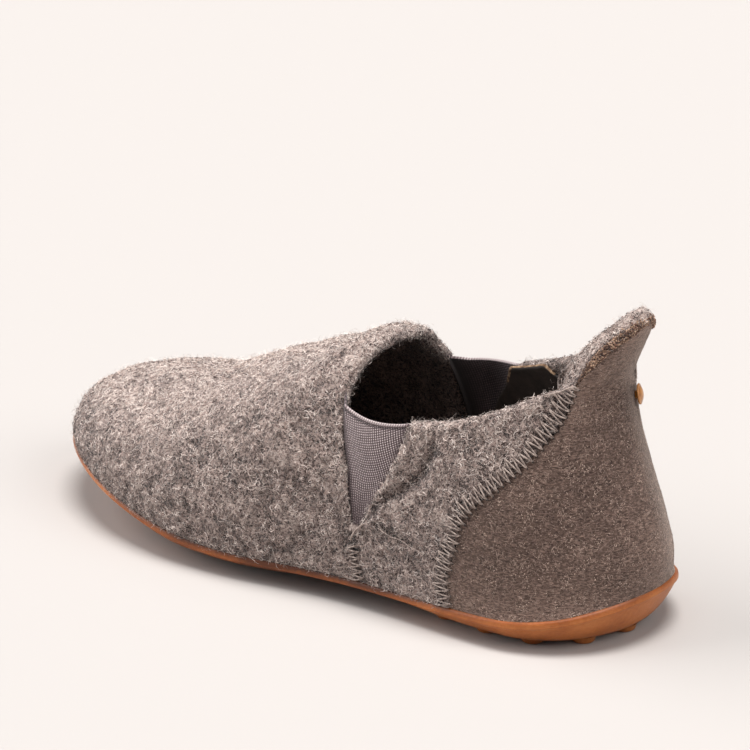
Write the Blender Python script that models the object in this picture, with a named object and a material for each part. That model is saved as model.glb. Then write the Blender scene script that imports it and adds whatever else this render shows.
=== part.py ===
"""Child's slip-on wool slipper: rubber outsole, insole, felt upper, two elastic gores, heel counter and stud.

The shoe stands on its sole with +X to the toe, +Y to the wearer's left and +Z up.
Tables and sizes are in millimetres measured from the back of the heel.
"""
import math

import bmesh
import bpy
import numpy as np

MM = 0.001
GAP = 0.3

# Middle of the finished shoe's box, which becomes the origin
ORIGIN_X = 86.6
ORIGIN_Y = -2.4

# Wall of the upper and the pieces let into it
WOOL_WALL = 3.0
HEEL_WALL = 3.9
COUNTER_TOP = 0.25
COUNTER_THICK = 1.15
GORE_TOP = 0.9
GORE_THICK = 1.1
GORE_SIDE_GAP = 0.5

# The last, one row for each station from the heel back to the toe tip
LAST_COLUMNS = (
    "sole_x", "lateral_y", "medial_y", "sole_z",
    "top_x", "top_half_y", "top_mid_y", "top_z", "lean", "bulge", "full",
)
LAST_ROWS = (
    (0.0, 0.0, 0.0, 12.6, 1.8, 0.0, 0.0, 78.0, 12.0, -0.6, 2.0),
    (1.6, 9.0, -9.0, 12.0, 4.2, 4.6, 0.0, 75.4, 14.0, -1.9, 2.0),
    (6.0, 17.0, -16.6, 10.5, 10.2, 8.7, 0.0, 69.2, 20.0, -3.1, 2.0),
    (13.0, 23.4, -22.6, 8.7, 16.5, 12.9, 0.0, 61.3, 26.0, -2.8, 2.0),
    (23.0, 27.6, -26.4, 7.5, 23.5, 18.2, 0.0, 58.5, 30.0, -1.2, 2.0),
    (37.0, 28.2, -27.2, 7.1, 37.0, 22.2, 0.0, 52.3, 36.0, 0.4, 2.0),
    (53.0, 27.2, -27.4, 6.7, 54.0, 22.6, 0.0, 47.6, 42.0, 0.8, 2.0),
    (67.0, 26.9, -28.1, 6.6, 73.4, 21.4, 0.0, 46.4, 50.0, 0.9, 2.0),
    (75.5, 27.3, -29.2, 6.5, 74.7, 19.2, 0.0, 49.8, 58.0, 1.0, 2.05),
    (82.0, 28.1, -30.4, 6.5, 74.4, 14.8, 0.0, 54.2, 70.0, 1.1, 2.1),
    (87.5, 29.0, -31.7, 6.5, 73.6, 8.2, 0.0, 58.0, 80.0, 1.2, 2.1),
    (93.0, 29.9, -33.0, 6.5, 72.8, 0.0, 0.0, 59.8, 90.0, 1.2, 2.1),
    (100.0, 30.9, -34.4, 6.5, 86.0, 0.0, -1.0, 54.5, 90.0, 1.2, 2.1),
    (109.0, 31.4, -35.5, 6.9, 100.0, 0.0, -2.5, 48.4, 90.0, 1.2, 2.1),
    (119.0, 31.2, -36.2, 8.0, 113.0, 0.0, -4.0, 43.0, 90.0, 1.2, 2.1),
    (130.5, 29.2, -36.0, 9.6, 125.0, 0.0, -5.0, 38.4, 90.0, 1.0, 2.1),
    (142.5, 25.4, -34.8, 11.6, 134.0, 0.0, -6.0, 35.4, 90.0, 0.8, 2.1),
    (153.5, 19.6, -32.0, 13.5, 139.0, 0.0, -6.6, 34.0, 86.0, 0.6, 2.0),
    (163.3, 11.6, -26.6, 15.1, 142.0, 0.0, -7.2, 33.2, 79.0, 0.4, 1.88),
    (170.8, 1.0, -18.0, 16.3, 143.6, 0.0, -7.7, 32.7, 73.0, 0.3, 1.82),
    (173.4, -8.6, -8.6, 16.7, 144.2, 0.0, -8.0, 32.5, 71.0, 0.2, 1.82),
)
GORE_ROW = 7
THROAT_ROW = 11
HEEL_SPREAD = 7.0

# Back of the heel seen from the side: how far forward it lies at each height
HEEL_CURVE_COLUMNS = ("z", "forward")
HEEL_CURVE = (
    (12.6, -0.2), (18.0, -1.3), (26.0, -0.1), (36.0, 3.2), (46.0, 6.9),
    (54.0, 9.2), (60.0, 10.1), (64.0, 8.8), (71.0, 5.6), (78.0, 1.8),
)

# Front edge of the heel counter: rows round from the heel back at each share of the wall's height
SEAM_COLUMNS = ("share_up", "rows_round")
SEAM_ROWS = (
    (0.0, 5.08), (0.16, 5.15), (0.33, 5.04), (0.53, 4.80), (0.63, 4.32),
    (0.72, 3.76), (0.79, 3.38), (0.86, 2.98), (0.92, 2.64), (1.0, 2.62),
)

# Upper edge of the counter: how far it lies below the felt's rim, in rows round from the heel back
TAB_EDGE_COLUMNS = ("rows_round", "below_rim")
TAB_EDGE_ROWS = ((0.0, 1.0), (0.7, 2.0), (1.6, 2.1), (2.7, 2.8))
TAB_EDGE_REACH = 0.3
TAB_EDGE_SLOPE = 2.5

# Gore edges: rows round at each share of the wall's height, from the point up to the collar
GORE_COLUMNS = ("share_up", "rear_row", "front_row")
GORE_ROWS = (
    (0.34, 6.80, 6.92), (0.48, 6.58, 6.98), (0.71, 6.24, 7.03), (0.87, 6.08, 7.06), (1.0, 5.98, 7.1),
)

# Outsole
SOLE_LIP = 0.4
SOLE_EDGE_RUN = 10.0
EDGE_COLUMNS = ("x", "lip_tall", "power")
EDGE_ROWS = ((0.0, 1.2, 2.8), (60.0, 1.2, 2.2), (120.0, 1.2, 2.0), (150.0, 0.7, 2.0), (174.0, 0.5, 2.0))
SOLE_THICK = 3.0
SOLE_LEDGE = 4.7
SOLE_CUP_RUN = 8.0
SPINE_HEEL_ROW = 4
SPINE_TOE_ROW = 17
GROUND_COLUMNS = ("x", "height")
GROUND_ROWS = (
    (0.0, 1.7), (16.0, 1.1), (42.0, 1.2), (68.0, 3.2), (94.0, 1.3),
    (106.0, 1.2), (122.0, 1.6), (140.0, 5.3), (156.0, 10.0), (174.0, 15.2),
)

# Studs under the sole: one line inside its edge and staggered rows between
STUD_TALL = 1.2
STUD_TOP_RADIUS = 3.0
STUD_FOOT_RADIUS = 2.6
STUD_SIDES = 8
STUD_EDGE_PITCH = 11.5
STUD_EDGE_INSET = 9.5
STUD_BALL_INSET = 14.0
STUD_ROW_PITCH = 10.5
STUD_LINE_PITCH = 11.5
STUD_CLEAR = 9.6
STUD_HEEL_END = 52.0
STUD_BALL_START = 86.0
STUD_TOE_END = 140.0

# Insole
INSOLE_THICK = 2.4
INSOLE_LIFT = 0.6
INSOLE_EDGE = 4.8
INSOLE_HEEL_EXTRA = 2.2

# Button on the back of the heel
BUTTON_ROW = -1.1
BUTTON_Z_SHARE = 0.672
BUTTON_LIFT = 0.6
BUTTON_RADIUS = 2.8
BUTTON_RIM = 0.5
BUTTON_DOME = 0.7

# Mesh steps
COUNTER_SHARES = np.linspace(0.012, 1.0, 17)
ROW_STEPS = (2, 3, 3, 3, 3, 3, 3, 2, 2, 2, 2, 3, 3, 3, 3, 3, 3, 2, 2, 2)
WALL_STEPS = 9


def last_loop():
    """The stations as one closed loop: up the lateral side to the toe and back down the medial side."""
    lateral = []
    medial = []
    for row in LAST_ROWS:
        at = dict(zip(LAST_COLUMNS, row))
        top = (at["top_z"], at["lean"], at["bulge"], at["full"])
        lateral.append((at["sole_x"], at["lateral_y"], at["sole_z"], at["top_x"],
                        at["top_mid_y"] + at["top_half_y"]) + top)
        medial.append((at["sole_x"], at["medial_y"], at["sole_z"], at["top_x"],
                       at["top_mid_y"] - at["top_half_y"]) + top)
    return np.array(lateral + medial[-2:0:-1])


LOOP = last_loop()
LOOP_COUNT = len(LOOP)
TOE_ROW = len(LAST_ROWS) - 1
TOPLINE = slice(3, 7)


def loop_slopes():
    """Slopes into and out of each station, with a corner in the topline at the gores and the throat."""
    before = LOOP - np.roll(LOOP, 1, axis=0)
    after = np.roll(LOOP, -1, axis=0) - LOOP
    into = (before + after) / 2
    out = into.copy()
    for row in (GORE_ROW, THROAT_ROW, LOOP_COUNT - THROAT_ROW, LOOP_COUNT - GORE_ROW):
        into[row, TOPLINE] = before[row, TOPLINE]
        out[row, TOPLINE] = after[row, TOPLINE]
    return into, out


SLOPE_IN, SLOPE_OUT = loop_slopes()


def hermite(t, start, start_slope, end, end_slope):
    """Cubic between two values with the slopes given at its ends."""
    return (
        (2 * t**3 - 3 * t**2 + 1) * start
        + (t**3 - 2 * t**2 + t) * start_slope
        + (3 * t**2 - 2 * t**3) * end
        + (t**3 - t**2) * end_slope
    )


def last_row(u):
    """Smooth station at u rows round from the heel back."""
    low = np.floor(u).astype(int)
    t = (u - low)[..., None]
    a = low % LOOP_COUNT
    b = (low + 1) % LOOP_COUNT
    return hermite(t, LOOP[a], SLOPE_OUT[a], LOOP[b], SLOPE_IN[b])


def table_curve(rows, at, column=1):
    """Smooth curve through one column of a table, carried on straight past its ends."""
    table = np.array(rows)
    keys = table[:, 0]
    values = table[:, column]
    slope = np.gradient(values, keys)
    k = np.clip(np.searchsorted(keys, at, side="right") - 1, 0, len(keys) - 2)
    step = keys[k + 1] - keys[k]
    t = (at - keys[k]) / step
    inside = np.clip(t, 0.0, 1.0)
    value = hermite(inside, values[k], step * slope[k], values[k + 1], step * slope[k + 1])
    below = np.minimum(t, 0.0) * step * slope[k]
    above = np.maximum(t - 1.0, 0.0) * step * slope[k + 1]
    return value + below + above


def plan_normal(u):
    """Outward direction in plan at the feather line."""
    step = 0.02
    along = (last_row(u + step) - last_row(u - step))[..., :2]
    along = along / np.maximum(np.linalg.norm(along, axis=-1, keepdims=True), 1e-9)
    return np.stack([-along[..., 1], along[..., 0]], -1)


def rows_from_heel(u):
    """Rows to the heel back the shorter way round."""
    return np.minimum(u % LOOP_COUNT, LOOP_COUNT - u % LOOP_COUNT)


def heel_weight(u):
    """One at the heel back, falling to nothing along the quarters."""
    t = np.clip(1.0 - rows_from_heel(u) / HEEL_SPREAD, 0.0, 1.0)
    return t * t * (3.0 - 2.0 * t)


def column_point(u, turn):
    """Point on the outer surface at a share of the column's turn from the feather line to the topline."""
    sole_x, sole_y, sole_z, top_x, top_y, top_z, lean, bulge, full = np.moveaxis(last_row(u), -1, 0)
    end = np.radians(np.clip(lean, 5.0, 90.0))
    power = 2.0 / full
    inward = (1.0 - np.cos(turn * end) ** power) / (1.0 - np.clip(np.cos(end), 0.0, 1.0) ** power)
    rise = np.sin(turn * end) ** power / np.sin(end) ** power
    x = sole_x + (top_x - sole_x) * inward
    y = sole_y + (top_y - sole_y) * inward
    z = sole_z + (top_z - sole_z) * rise
    x = x + heel_weight(u) * (table_curve(HEEL_CURVE, z) - inward * table_curve(HEEL_CURVE, top_z))
    swell = bulge * np.sin(np.pi * np.clip(rise, 0.0, 1.0) ** 0.7)
    out = plan_normal(u)
    return np.stack([x + out[..., 0] * swell, y + out[..., 1] * swell, z], -1)


def surface(u, v):
    """Outer surface at rows u round and share v of the wall's length, carried on straight past its ends."""
    u, v = np.broadcast_arrays(np.asarray(u, float), np.asarray(v, float))
    turns = np.linspace(0.0, 1.0, 41)
    rows, back = np.unique(u.ravel(), return_inverse=True)
    columns = column_point(rows[:, None] + 0.0 * turns, turns + 0.0 * rows[:, None])
    steps = np.linalg.norm(np.diff(columns, axis=1), axis=2)
    share = np.concatenate([np.zeros((len(rows), 1)), np.cumsum(steps, axis=1)], axis=1)
    share = share / share[:, -1:]
    shares = v.ravel()
    turn = np.empty_like(shares)
    for k in range(len(rows)):
        mine = back == k
        turn[mine] = np.interp(shares[mine], share[k], turns)
    points = column_point(u.ravel(), turn)
    low = (columns[:, 1] - columns[:, 0]) / share[:, 1:2]
    high = (columns[:, -1] - columns[:, -2]) / (1.0 - share[:, -2:-1])
    points = points + np.minimum(shares, 0.0)[:, None] * low[back]
    points = points + np.maximum(shares - 1.0, 0.0)[:, None] * high[back]
    return points.reshape(u.shape + (3,))


def surface_normal(u, v):
    """Outward normal of the outer surface, taken a little below the topline where it would turn its corners."""
    u, v = np.broadcast_arrays(np.asarray(u, float), np.asarray(v, float))
    step_u = 0.3
    step_v = 0.02
    middle = np.clip(v, step_v, 0.95)
    along = surface(u + step_u, middle) - surface(u - step_u, middle)
    up = surface(u, middle + step_v) - surface(u, middle - step_v)
    normal = np.cross(up, along)
    return normal / np.linalg.norm(normal, axis=-1, keepdims=True)


def throat_weight(u, v):
    """One along the throat's edge, where the wall's thickness lies square to the edge."""
    near = rows_from_heel(u)
    round_throat = np.clip(2.0 * (near - GORE_ROW) + 2.0, 0.0, 1.0) * np.clip(THROAT_ROW + 1.5 - near, 0.0, 1.0)
    return 0.9 * round_throat * np.clip((v - 0.7) / 0.2, 0.0, 1.0)


def ridge_normal(u, v):
    """Normal that is shared by the two sides where they meet along the ridge of the vamp."""
    mine = surface_normal(u, v)
    other = surface_normal(LOOP_COUNT - u, v)
    on_ridge = (rows_from_heel(u) >= THROAT_ROW) & (v >= 1.0)
    normal = np.where(on_ridge[..., None], mine + other, mine)
    normal[..., 0] *= 1.0 - throat_weight(u, v)
    return normal / np.linalg.norm(normal, axis=-1, keepdims=True)


def sunk(u, v, depth):
    """Point at a depth below the outer surface."""
    u, v = np.broadcast_arrays(np.asarray(u, float), np.asarray(v, float))
    return surface(u, v) - ridge_normal(u, v) * np.asarray(depth, float)[..., None]


def row_samples():
    """Rows round the loop at which the upper and the sole have a column of points."""
    half = []
    for row, steps in enumerate(ROW_STEPS):
        half.extend(row + np.arange(steps) / steps)
    half = np.array(half)
    back = LOOP_COUNT - half[:0:-1]
    return np.concatenate([half, [float(TOE_ROW)], back])


def placed(points):
    """Millimetres from the heel to metres from the middle of the shoe."""
    return (np.asarray(points) - (ORIGIN_X, ORIGIN_Y, 0.0)) * MM


def new_material(name, colour, roughness):
    material = bpy.data.materials.new(name)
    material.use_nodes = True
    shader = material.node_tree.nodes["Principled BSDF"]
    shader.inputs["Base Color"].default_value = (*colour, 1.0)
    shader.inputs["Roughness"].default_value = roughness
    material.diffuse_color = (*colour, 1.0)
    return material


def mesh_object(name, points, faces, collection):
    """One closed solid from points and faces, with doubled points joined and faces turned outward."""
    mesh = bpy.data.meshes.new(name)
    work = bmesh.new()
    corners = [work.verts.new(p) for p in placed(points)]
    for face in faces:
        work.faces.new([corners[k] for k in face])
    bmesh.ops.remove_doubles(work, verts=work.verts, dist=1e-7)
    bmesh.ops.dissolve_degenerate(work, edges=work.edges, dist=1e-7)
    bmesh.ops.recalc_face_normals(work, faces=work.faces)
    work.to_mesh(mesh)
    work.free()
    result = bpy.data.objects.new(name, mesh)
    collection.objects.link(result)
    return result


def slab(name, outer, inner, collection):
    """Solid between two grids of points that match."""
    wide, tall = outer.shape[:2]
    count = wide * tall
    points = np.concatenate([outer.reshape(-1, 3), inner.reshape(-1, 3)])
    faces = []
    for i in range(wide - 1):
        for j in range(tall - 1):
            a = i * tall + j
            b = a + tall
            faces.append((a, b, b + 1, a + 1))
            faces.append((count + a, count + a + 1, count + b + 1, count + b))
    border = [(i * tall, (i + 1) * tall) for i in range(wide - 1)]
    border += [((wide - 1) * tall + j, (wide - 1) * tall + j + 1) for j in range(tall - 1)]
    border += [((i + 1) * tall - 1 + tall, (i + 1) * tall - 1) for i in reversed(range(wide - 1))]
    border += [(j + 1, j) for j in reversed(range(tall - 1))]
    for a, b in border:
        faces.append((a, count + a, count + b, b))
    return mesh_object(name, points, faces, collection)


def cut(target, cutters, operation="DIFFERENCE"):
    """Applies each cutter to the target in turn."""
    for cutter in cutters:
        step = target.modifiers.new(cutter.name, "BOOLEAN")
        step.operation = operation
        step.solver = "MANIFOLD"
        step.object = cutter
    bpy.context.view_layer.update()
    graph = bpy.context.evaluated_depsgraph_get()
    result = bpy.data.meshes.new_from_object(target.evaluated_get(graph))
    target.modifiers.clear()
    target.data = result


def seam_row(v, clearance=0.0):
    """Rows round to the front edge of the counter, moved back by a clearance in millimetres."""
    row = table_curve(SEAM_ROWS, np.clip(v, 0.0, 1.0))
    step = 0.05
    pace = np.linalg.norm(surface(row + step, v) - surface(row - step, v), axis=-1) / (2.0 * step)
    return row - clearance / pace


def wall_length(u):
    """Length of the wall in millimetres from the feather line to the topline."""
    turns = np.linspace(0.0, 1.0, 41)
    columns = column_point(u[..., None] + 0.0 * turns, turns + 0.0 * u[..., None])
    return np.linalg.norm(np.diff(columns, axis=-2), axis=-1).sum(-1)


def counter_grid(shares, clearance, across):
    """Rows and shares of a net over the counter, from the medial edge to the lateral edge."""
    edge = seam_row(shares, clearance)
    side = np.linspace(-1.0, 1.0, across)
    u = side[:, None] * edge[None, :]
    below = (table_curve(TAB_EDGE_ROWS, rows_from_heel(u)) + TAB_EDGE_SLOPE * clearance) / wall_length(u)
    t = np.clip((shares - 1.0 + TAB_EDGE_REACH) / TAB_EDGE_REACH, 0.0, 1.0)
    v = shares[None, :] - below * (t * t * (3.0 - 2.0 * t))
    return u, v


def gore_grid(shares, clearance, across, medial):
    """Rows and shares of a net over a gore, from its rear edge to its front edge."""
    rear = table_curve(GORE_ROWS, np.clip(shares, 0.0, 1.0), 1)
    front = table_curve(GORE_ROWS, np.clip(shares, 0.0, 1.0), 2)
    step = 0.05
    middle = (rear + front) / 2
    pace = np.linalg.norm(surface(middle + step, shares) - surface(middle - step, shares), axis=-1)
    inset = clearance * 2.0 * step / pace
    share = np.linspace(0.0, 1.0, across)
    u = (rear + inset)[None, :] * (1.0 - share[:, None]) + (front - inset)[None, :] * share[:, None]
    v = shares[None, :] + 0.0 * u
    return (LOOP_COUNT - u if medial else u), v


def wall_depth(u):
    """Whole thickness of the wall, a little more round the heel."""
    return WOOL_WALL + (HEEL_WALL - WOOL_WALL) * heel_weight(u)


def build_upper(collection, tools):
    """Felt shell, open at the collar and underneath, with the counter's place and the two V notches cut."""
    rows = row_samples()
    count = len(rows)
    shares = np.linspace(0.0, 1.0, WALL_STEPS + 1)
    u = rows[:, None] + 0.0 * shares
    v = shares + 0.0 * rows[:, None]
    outer = surface(u, v)
    inner = sunk(u, v, wall_depth(u))
    inner[:, 0, 2] = outer[:, 0, 2]
    tall = len(shares)
    points = np.concatenate([outer.reshape(-1, 3), inner.reshape(-1, 3)])
    offset = count * tall
    faces = []
    for i in range(count):
        k = (i + 1) % count
        a = i * tall
        b = k * tall
        for j in range(tall - 1):
            faces.append((a + j, b + j, b + j + 1, a + j + 1))
            faces.append((offset + a + j, offset + a + j + 1, offset + b + j + 1, offset + b + j))
        faces.append((a, offset + a, offset + b, b))
        middle = rows_from_heel((rows[i] + (rows[k] if k else LOOP_COUNT)) / 2)
        if middle < THROAT_ROW:
            top = tall - 1
            faces.append((a + top, b + top, offset + b + top, offset + a + top))
    upper = mesh_object("upper", points, faces, collection)

    reach = np.concatenate([[-0.05], COUNTER_SHARES])
    u, v = counter_grid(reach, 0.0, 27)
    floor = COUNTER_TOP + COUNTER_THICK + GAP
    seat = slab("counter_seat", sunk(u, v, np.full(u.shape, -3.0)), sunk(u, v, np.full(u.shape, floor)), tools)
    cutters = [seat]
    reach = np.concatenate([np.linspace(GORE_ROWS[0][0], 1.0, 9), [1.1]])
    for name, medial in (("notch_lateral", False), ("notch_medial", True)):
        u, v = gore_grid(reach, 0.0, 5, medial)
        over = sunk(u, v, np.full(u.shape, -3.0))
        under = sunk(u, v, np.full(u.shape, 6.0))
        cutters.append(slab(name, over, under, tools))
    cut(upper, cutters)
    return upper


def build_counter(collection):
    """Suede round the heel and up the outside of the pull tab."""
    u, v = counter_grid(COUNTER_SHARES, GAP, 27)
    outer = sunk(u, v, np.full(u.shape, COUNTER_TOP))
    inner = sunk(u, v, np.full(u.shape, COUNTER_TOP + COUNTER_THICK))
    return slab("heel_counter", outer, inner, collection)


def build_gore(name, medial, collection):
    """Elastic insert set a little below the felt."""
    shares = np.linspace(GORE_ROWS[0][0] + 0.03, 0.985, 10)
    u, v = gore_grid(shares, GORE_SIDE_GAP, 6, medial)
    outer = sunk(u, v, np.full(u.shape, GORE_TOP))
    inner = sunk(u, v, np.full(u.shape, GORE_TOP + GORE_THICK))
    return slab(name, outer, inner, collection)


def spine_point(u):
    """Point on the middle line of the sole that a row runs in to."""
    near = np.clip(rows_from_heel(u), SPINE_HEEL_ROW, SPINE_TOE_ROW)
    lateral = last_row(near)
    medial = last_row(LOOP_COUNT - near)
    return (lateral[..., :2] + medial[..., :2]) / 2


def sole_edge(u):
    """Outer edge of the sole in plan, standing out from the feather line by the lip."""
    return last_row(u)[..., :2] + plan_normal(u) * SOLE_LIP


def inset_plan(u, inset):
    """Point in plan set in from the sole's edge, and no further than the middle line."""
    edge = sole_edge(u)
    run = spine_point(u) - edge
    far = np.linalg.norm(run, axis=-1)
    return edge + run * (np.minimum(inset, far) / far)[..., None]


def ground_height(x):
    """Height of the sole's underside, with the arch and the toe spring."""
    return table_curve(GROUND_ROWS, x)


def ledge_height(u):
    """Height of the ledge that the upper stands over."""
    return last_row(u)[..., 2] - GAP


def sole_top(u, inset):
    """Height of the sole's upper face: the ledge, then a cup down to the floor."""
    plan = inset_plan(u, inset)
    floor = ground_height(plan[..., 0]) + SOLE_THICK
    ledge = ledge_height(u)
    t = np.clip((inset - SOLE_LEDGE) / SOLE_CUP_RUN, 0.0, 1.0)
    drop = 1.0 - np.sqrt(1.0 - (1.0 - t) ** 2)
    return np.minimum(ledge, floor) + np.maximum(ledge - floor, 0.0) * drop


def ring_points(u, inset, height):
    plan = inset_plan(u, np.broadcast_to(inset, u.shape))
    return np.concatenate([plan, height[:, None]], axis=1)


def ring_solid(name, rings, collection):
    """Closed solid through rings of points that start and end on the middle line."""
    count = len(rings[0])
    points = np.concatenate(rings)
    faces = []
    for level in range(len(rings) - 1):
        for i in range(count):
            k = (i + 1) % count
            a = level * count
            b = a + count
            faces.append((a + i, a + k, b + k, b + i))
    return mesh_object(name, points, faces, collection)


def stud_places():
    """Plan points of the studs: a line inside the edge, then staggered rows in the space it leaves."""
    fine = np.linspace(0.0, LOOP_COUNT, 1601)[:-1]
    at_ball = last_row(fine)[:, 0] > (STUD_HEEL_END + STUD_BALL_START) / 2
    line = inset_plan(fine, np.where(at_ball, STUD_BALL_INSET, STUD_EDGE_INSET))
    steps = np.linalg.norm(np.roll(line, -1, axis=0) - line, axis=1)
    run = np.concatenate([[0.0], np.cumsum(steps)[:-1]])
    number = int(steps.sum() // STUD_EDGE_PITCH)
    wanted = [line[np.searchsorted(run, k * steps.sum() / number)] for k in range(number)]
    for row in range(int(STUD_TOE_END / STUD_ROW_PITCH) + 1):
        x = (row + 0.9) * STUD_ROW_PITCH
        shift = 0.5 * (row % 2)
        for column in range(-3, 4):
            wanted.append((x, (column + shift) * STUD_LINE_PITCH + ORIGIN_Y))
    places = []
    for x, y in wanted:
        under = x < STUD_HEEL_END or STUD_BALL_START < x < STUD_TOE_END
        edge = np.min(np.hypot(line[:, 0] - x, line[:, 1] - y))
        inside = edge < 0.5 or inside_loop(line, x, y)
        clear = all(math.hypot(x - px, y - py) > STUD_CLEAR for px, py in places)
        if under and inside and clear:
            places.append((x, y))
    return places


def inside_loop(line, x, y):
    """Whether a plan point lies inside a closed line."""
    other = np.roll(line, -1, axis=0)
    spans = (line[:, 1] > y) != (other[:, 1] > y)
    rise = np.where(spans, other[:, 1] - line[:, 1], 1.0)
    crossing = line[:, 0] + (y - line[:, 1]) * (other[:, 0] - line[:, 0]) / rise
    return np.count_nonzero(spans & (crossing > x)) % 2 == 1


def build_studs(collection):
    """All the studs as one cutter mesh, each a short tapered round."""
    points = []
    faces = []
    angles = np.arange(STUD_SIDES) * 2.0 * math.pi / STUD_SIDES
    for x, y in stud_places():
        base = float(ground_height(np.array(x)))
        foot = max(base - STUD_TALL, 0.0)
        start = len(points)
        for radius, z in ((STUD_FOOT_RADIUS, foot), (STUD_TOP_RADIUS, base + 1.4)):
            for angle in angles:
                points.append((x + radius * math.cos(angle), y + radius * math.sin(angle), z))
        ring = [start + k for k in range(STUD_SIDES)]
        top = [k + STUD_SIDES for k in ring]
        faces.append(ring[::-1])
        faces.append(top)
        for k in range(STUD_SIDES):
            n = (k + 1) % STUD_SIDES
            faces.append((ring[k], ring[n], top[n], top[k]))
    return mesh_object("stud_rounds", np.array(points), faces, collection)


def build_outsole(collection, tools):
    """Rubber cup sole with rolled edge, arch, toe spring and studs."""
    u = row_samples()
    far = 99.0
    rings = []
    for inset in (far, 12.7, 9.0, 6.5, SOLE_LEDGE):
        rings.append(ring_points(u, inset, sole_top(u, np.full(u.shape, inset))))
    ledge = ledge_height(u)
    rings.append(ring_points(u, 0.0, ledge))
    edge_x = sole_edge(u)[:, 0]
    lip = ledge - table_curve(EDGE_ROWS, edge_x, 1)
    power = table_curve(EDGE_ROWS, edge_x, 2)
    for turn in np.radians((0.0, 22.0, 45.0, 67.0, 90.0)):
        inset = SOLE_EDGE_RUN * (1.0 - math.cos(turn))
        plan = inset_plan(u, np.full(u.shape, inset))
        low = ground_height(plan[:, 0])
        rings.append(ring_points(u, inset, low + (lip - low) * max(math.cos(turn), 0.0) ** power))
    plan = inset_plan(u, np.full(u.shape, far))
    rings.append(ring_points(u, far, ground_height(plan[:, 0])))
    outsole = ring_solid("outsole", rings, collection)
    cut(outsole, [build_studs(tools)], "UNION")
    return outsole


def build_insole(collection):
    """Felt footbed lying in the cup of the sole."""
    u = row_samples()[::2]
    edge = INSOLE_EDGE + INSOLE_HEEL_EXTRA * heel_weight(u)
    insets = [np.full(u.shape, inset) for inset in (99.0, 12.7, 9.0)] + [edge]
    rings = []
    for inset in insets:
        height = sole_top(u, inset) + INSOLE_LIFT + INSOLE_THICK
        rings.append(ring_points(u, inset, height))
    for inset in insets[::-1]:
        height = sole_top(u, inset) + INSOLE_LIFT
        rings.append(ring_points(u, inset, height))
    return ring_solid("insole", rings, collection)


def build_button(collection):
    """Plain low-domed button on the back of the counter."""
    u = np.array(BUTTON_ROW)
    v = np.array(BUTTON_Z_SHARE)
    out = surface_normal(u, v)
    seat = surface(u, v) + out * (BUTTON_LIFT - COUNTER_TOP)
    side = np.array((out[1], -out[0], 0.0)) / math.hypot(out[0], out[1])
    up = np.cross(side, out)
    sides = 20
    profile = [(BUTTON_RADIUS, 0.0), (BUTTON_RADIUS, BUTTON_RIM)]
    for turn in np.radians((25.0, 50.0, 72.0)):
        profile.append((BUTTON_RADIUS * math.cos(turn), BUTTON_RIM + BUTTON_DOME * math.sin(turn)))
    points = []
    for radius, lift in profile:
        for k in range(sides):
            angle = 2.0 * math.pi * k / sides
            points.append(seat + out * lift + radius * (side * math.cos(angle) + up * math.sin(angle)))
    points.append(seat)
    points.append(seat + out * (BUTTON_RIM + BUTTON_DOME))
    faces = []
    last = (len(profile) - 1) * sides
    for k in range(sides):
        n = (k + 1) % sides
        for level in range(len(profile) - 1):
            a = level * sides
            faces.append((a + k, a + n, a + sides + n, a + sides + k))
        faces.append((len(points) - 2, n, k))
        faces.append((len(points) - 1, last + k, last + n))
    return mesh_object("heel_stud", np.array(points), faces, collection)


def build():
    for item in list(bpy.data.objects):
        bpy.data.objects.remove(item, do_unlink=True)
    shoe = bpy.data.collections.new("wool_slipper")
    tools = bpy.data.collections.new("cutters")
    bpy.context.scene.collection.children.link(shoe)
    bpy.context.scene.collection.children.link(tools)

    felt = new_material("boiled_wool_felt", (0.30, 0.25, 0.22), 0.95)
    rubber = new_material("gum_rubber", (0.30, 0.12, 0.05), 0.55)
    suede = new_material("brushed_suede", (0.13, 0.085, 0.065), 0.85)
    elastic = new_material("woven_elastic", (0.24, 0.18, 0.18), 0.8)
    footbed = new_material("footbed_felt", (0.05, 0.04, 0.035), 0.95)
    button = new_material("tan_button", (0.35, 0.19, 0.08), 0.4)

    parts = (
        (build_outsole(shoe, tools), rubber),
        (build_insole(shoe), footbed),
        (build_upper(shoe, tools), felt),
        (build_gore("gore_lateral", False, shoe), elastic),
        (build_gore("gore_medial", True, shoe), elastic.copy()),
        (build_counter(shoe), suede),
        (build_button(shoe), button),
    )
    for item, material in parts:
        item.data.materials.clear()
        item.data.materials.append(material)
        for polygon in item.data.polygons:
            polygon.material_index = 0
    for tool in tools.objects:
        tool.hide_render = True
        tool.display_type = "WIRE"


build()
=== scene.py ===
"""Looks of a child's left wool slip-on slipper: felt, elastic, suede, stitching and gum rubber.

Sizes are in millimetres from the back of the heel, with +X to the toe, +Y to the outer side and +Z up.
A place on the upper is a number of rows round from the heel back, outer side first, and a share of the
way up the wall.
"""

import itertools
import math
from types import SimpleNamespace

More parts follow.
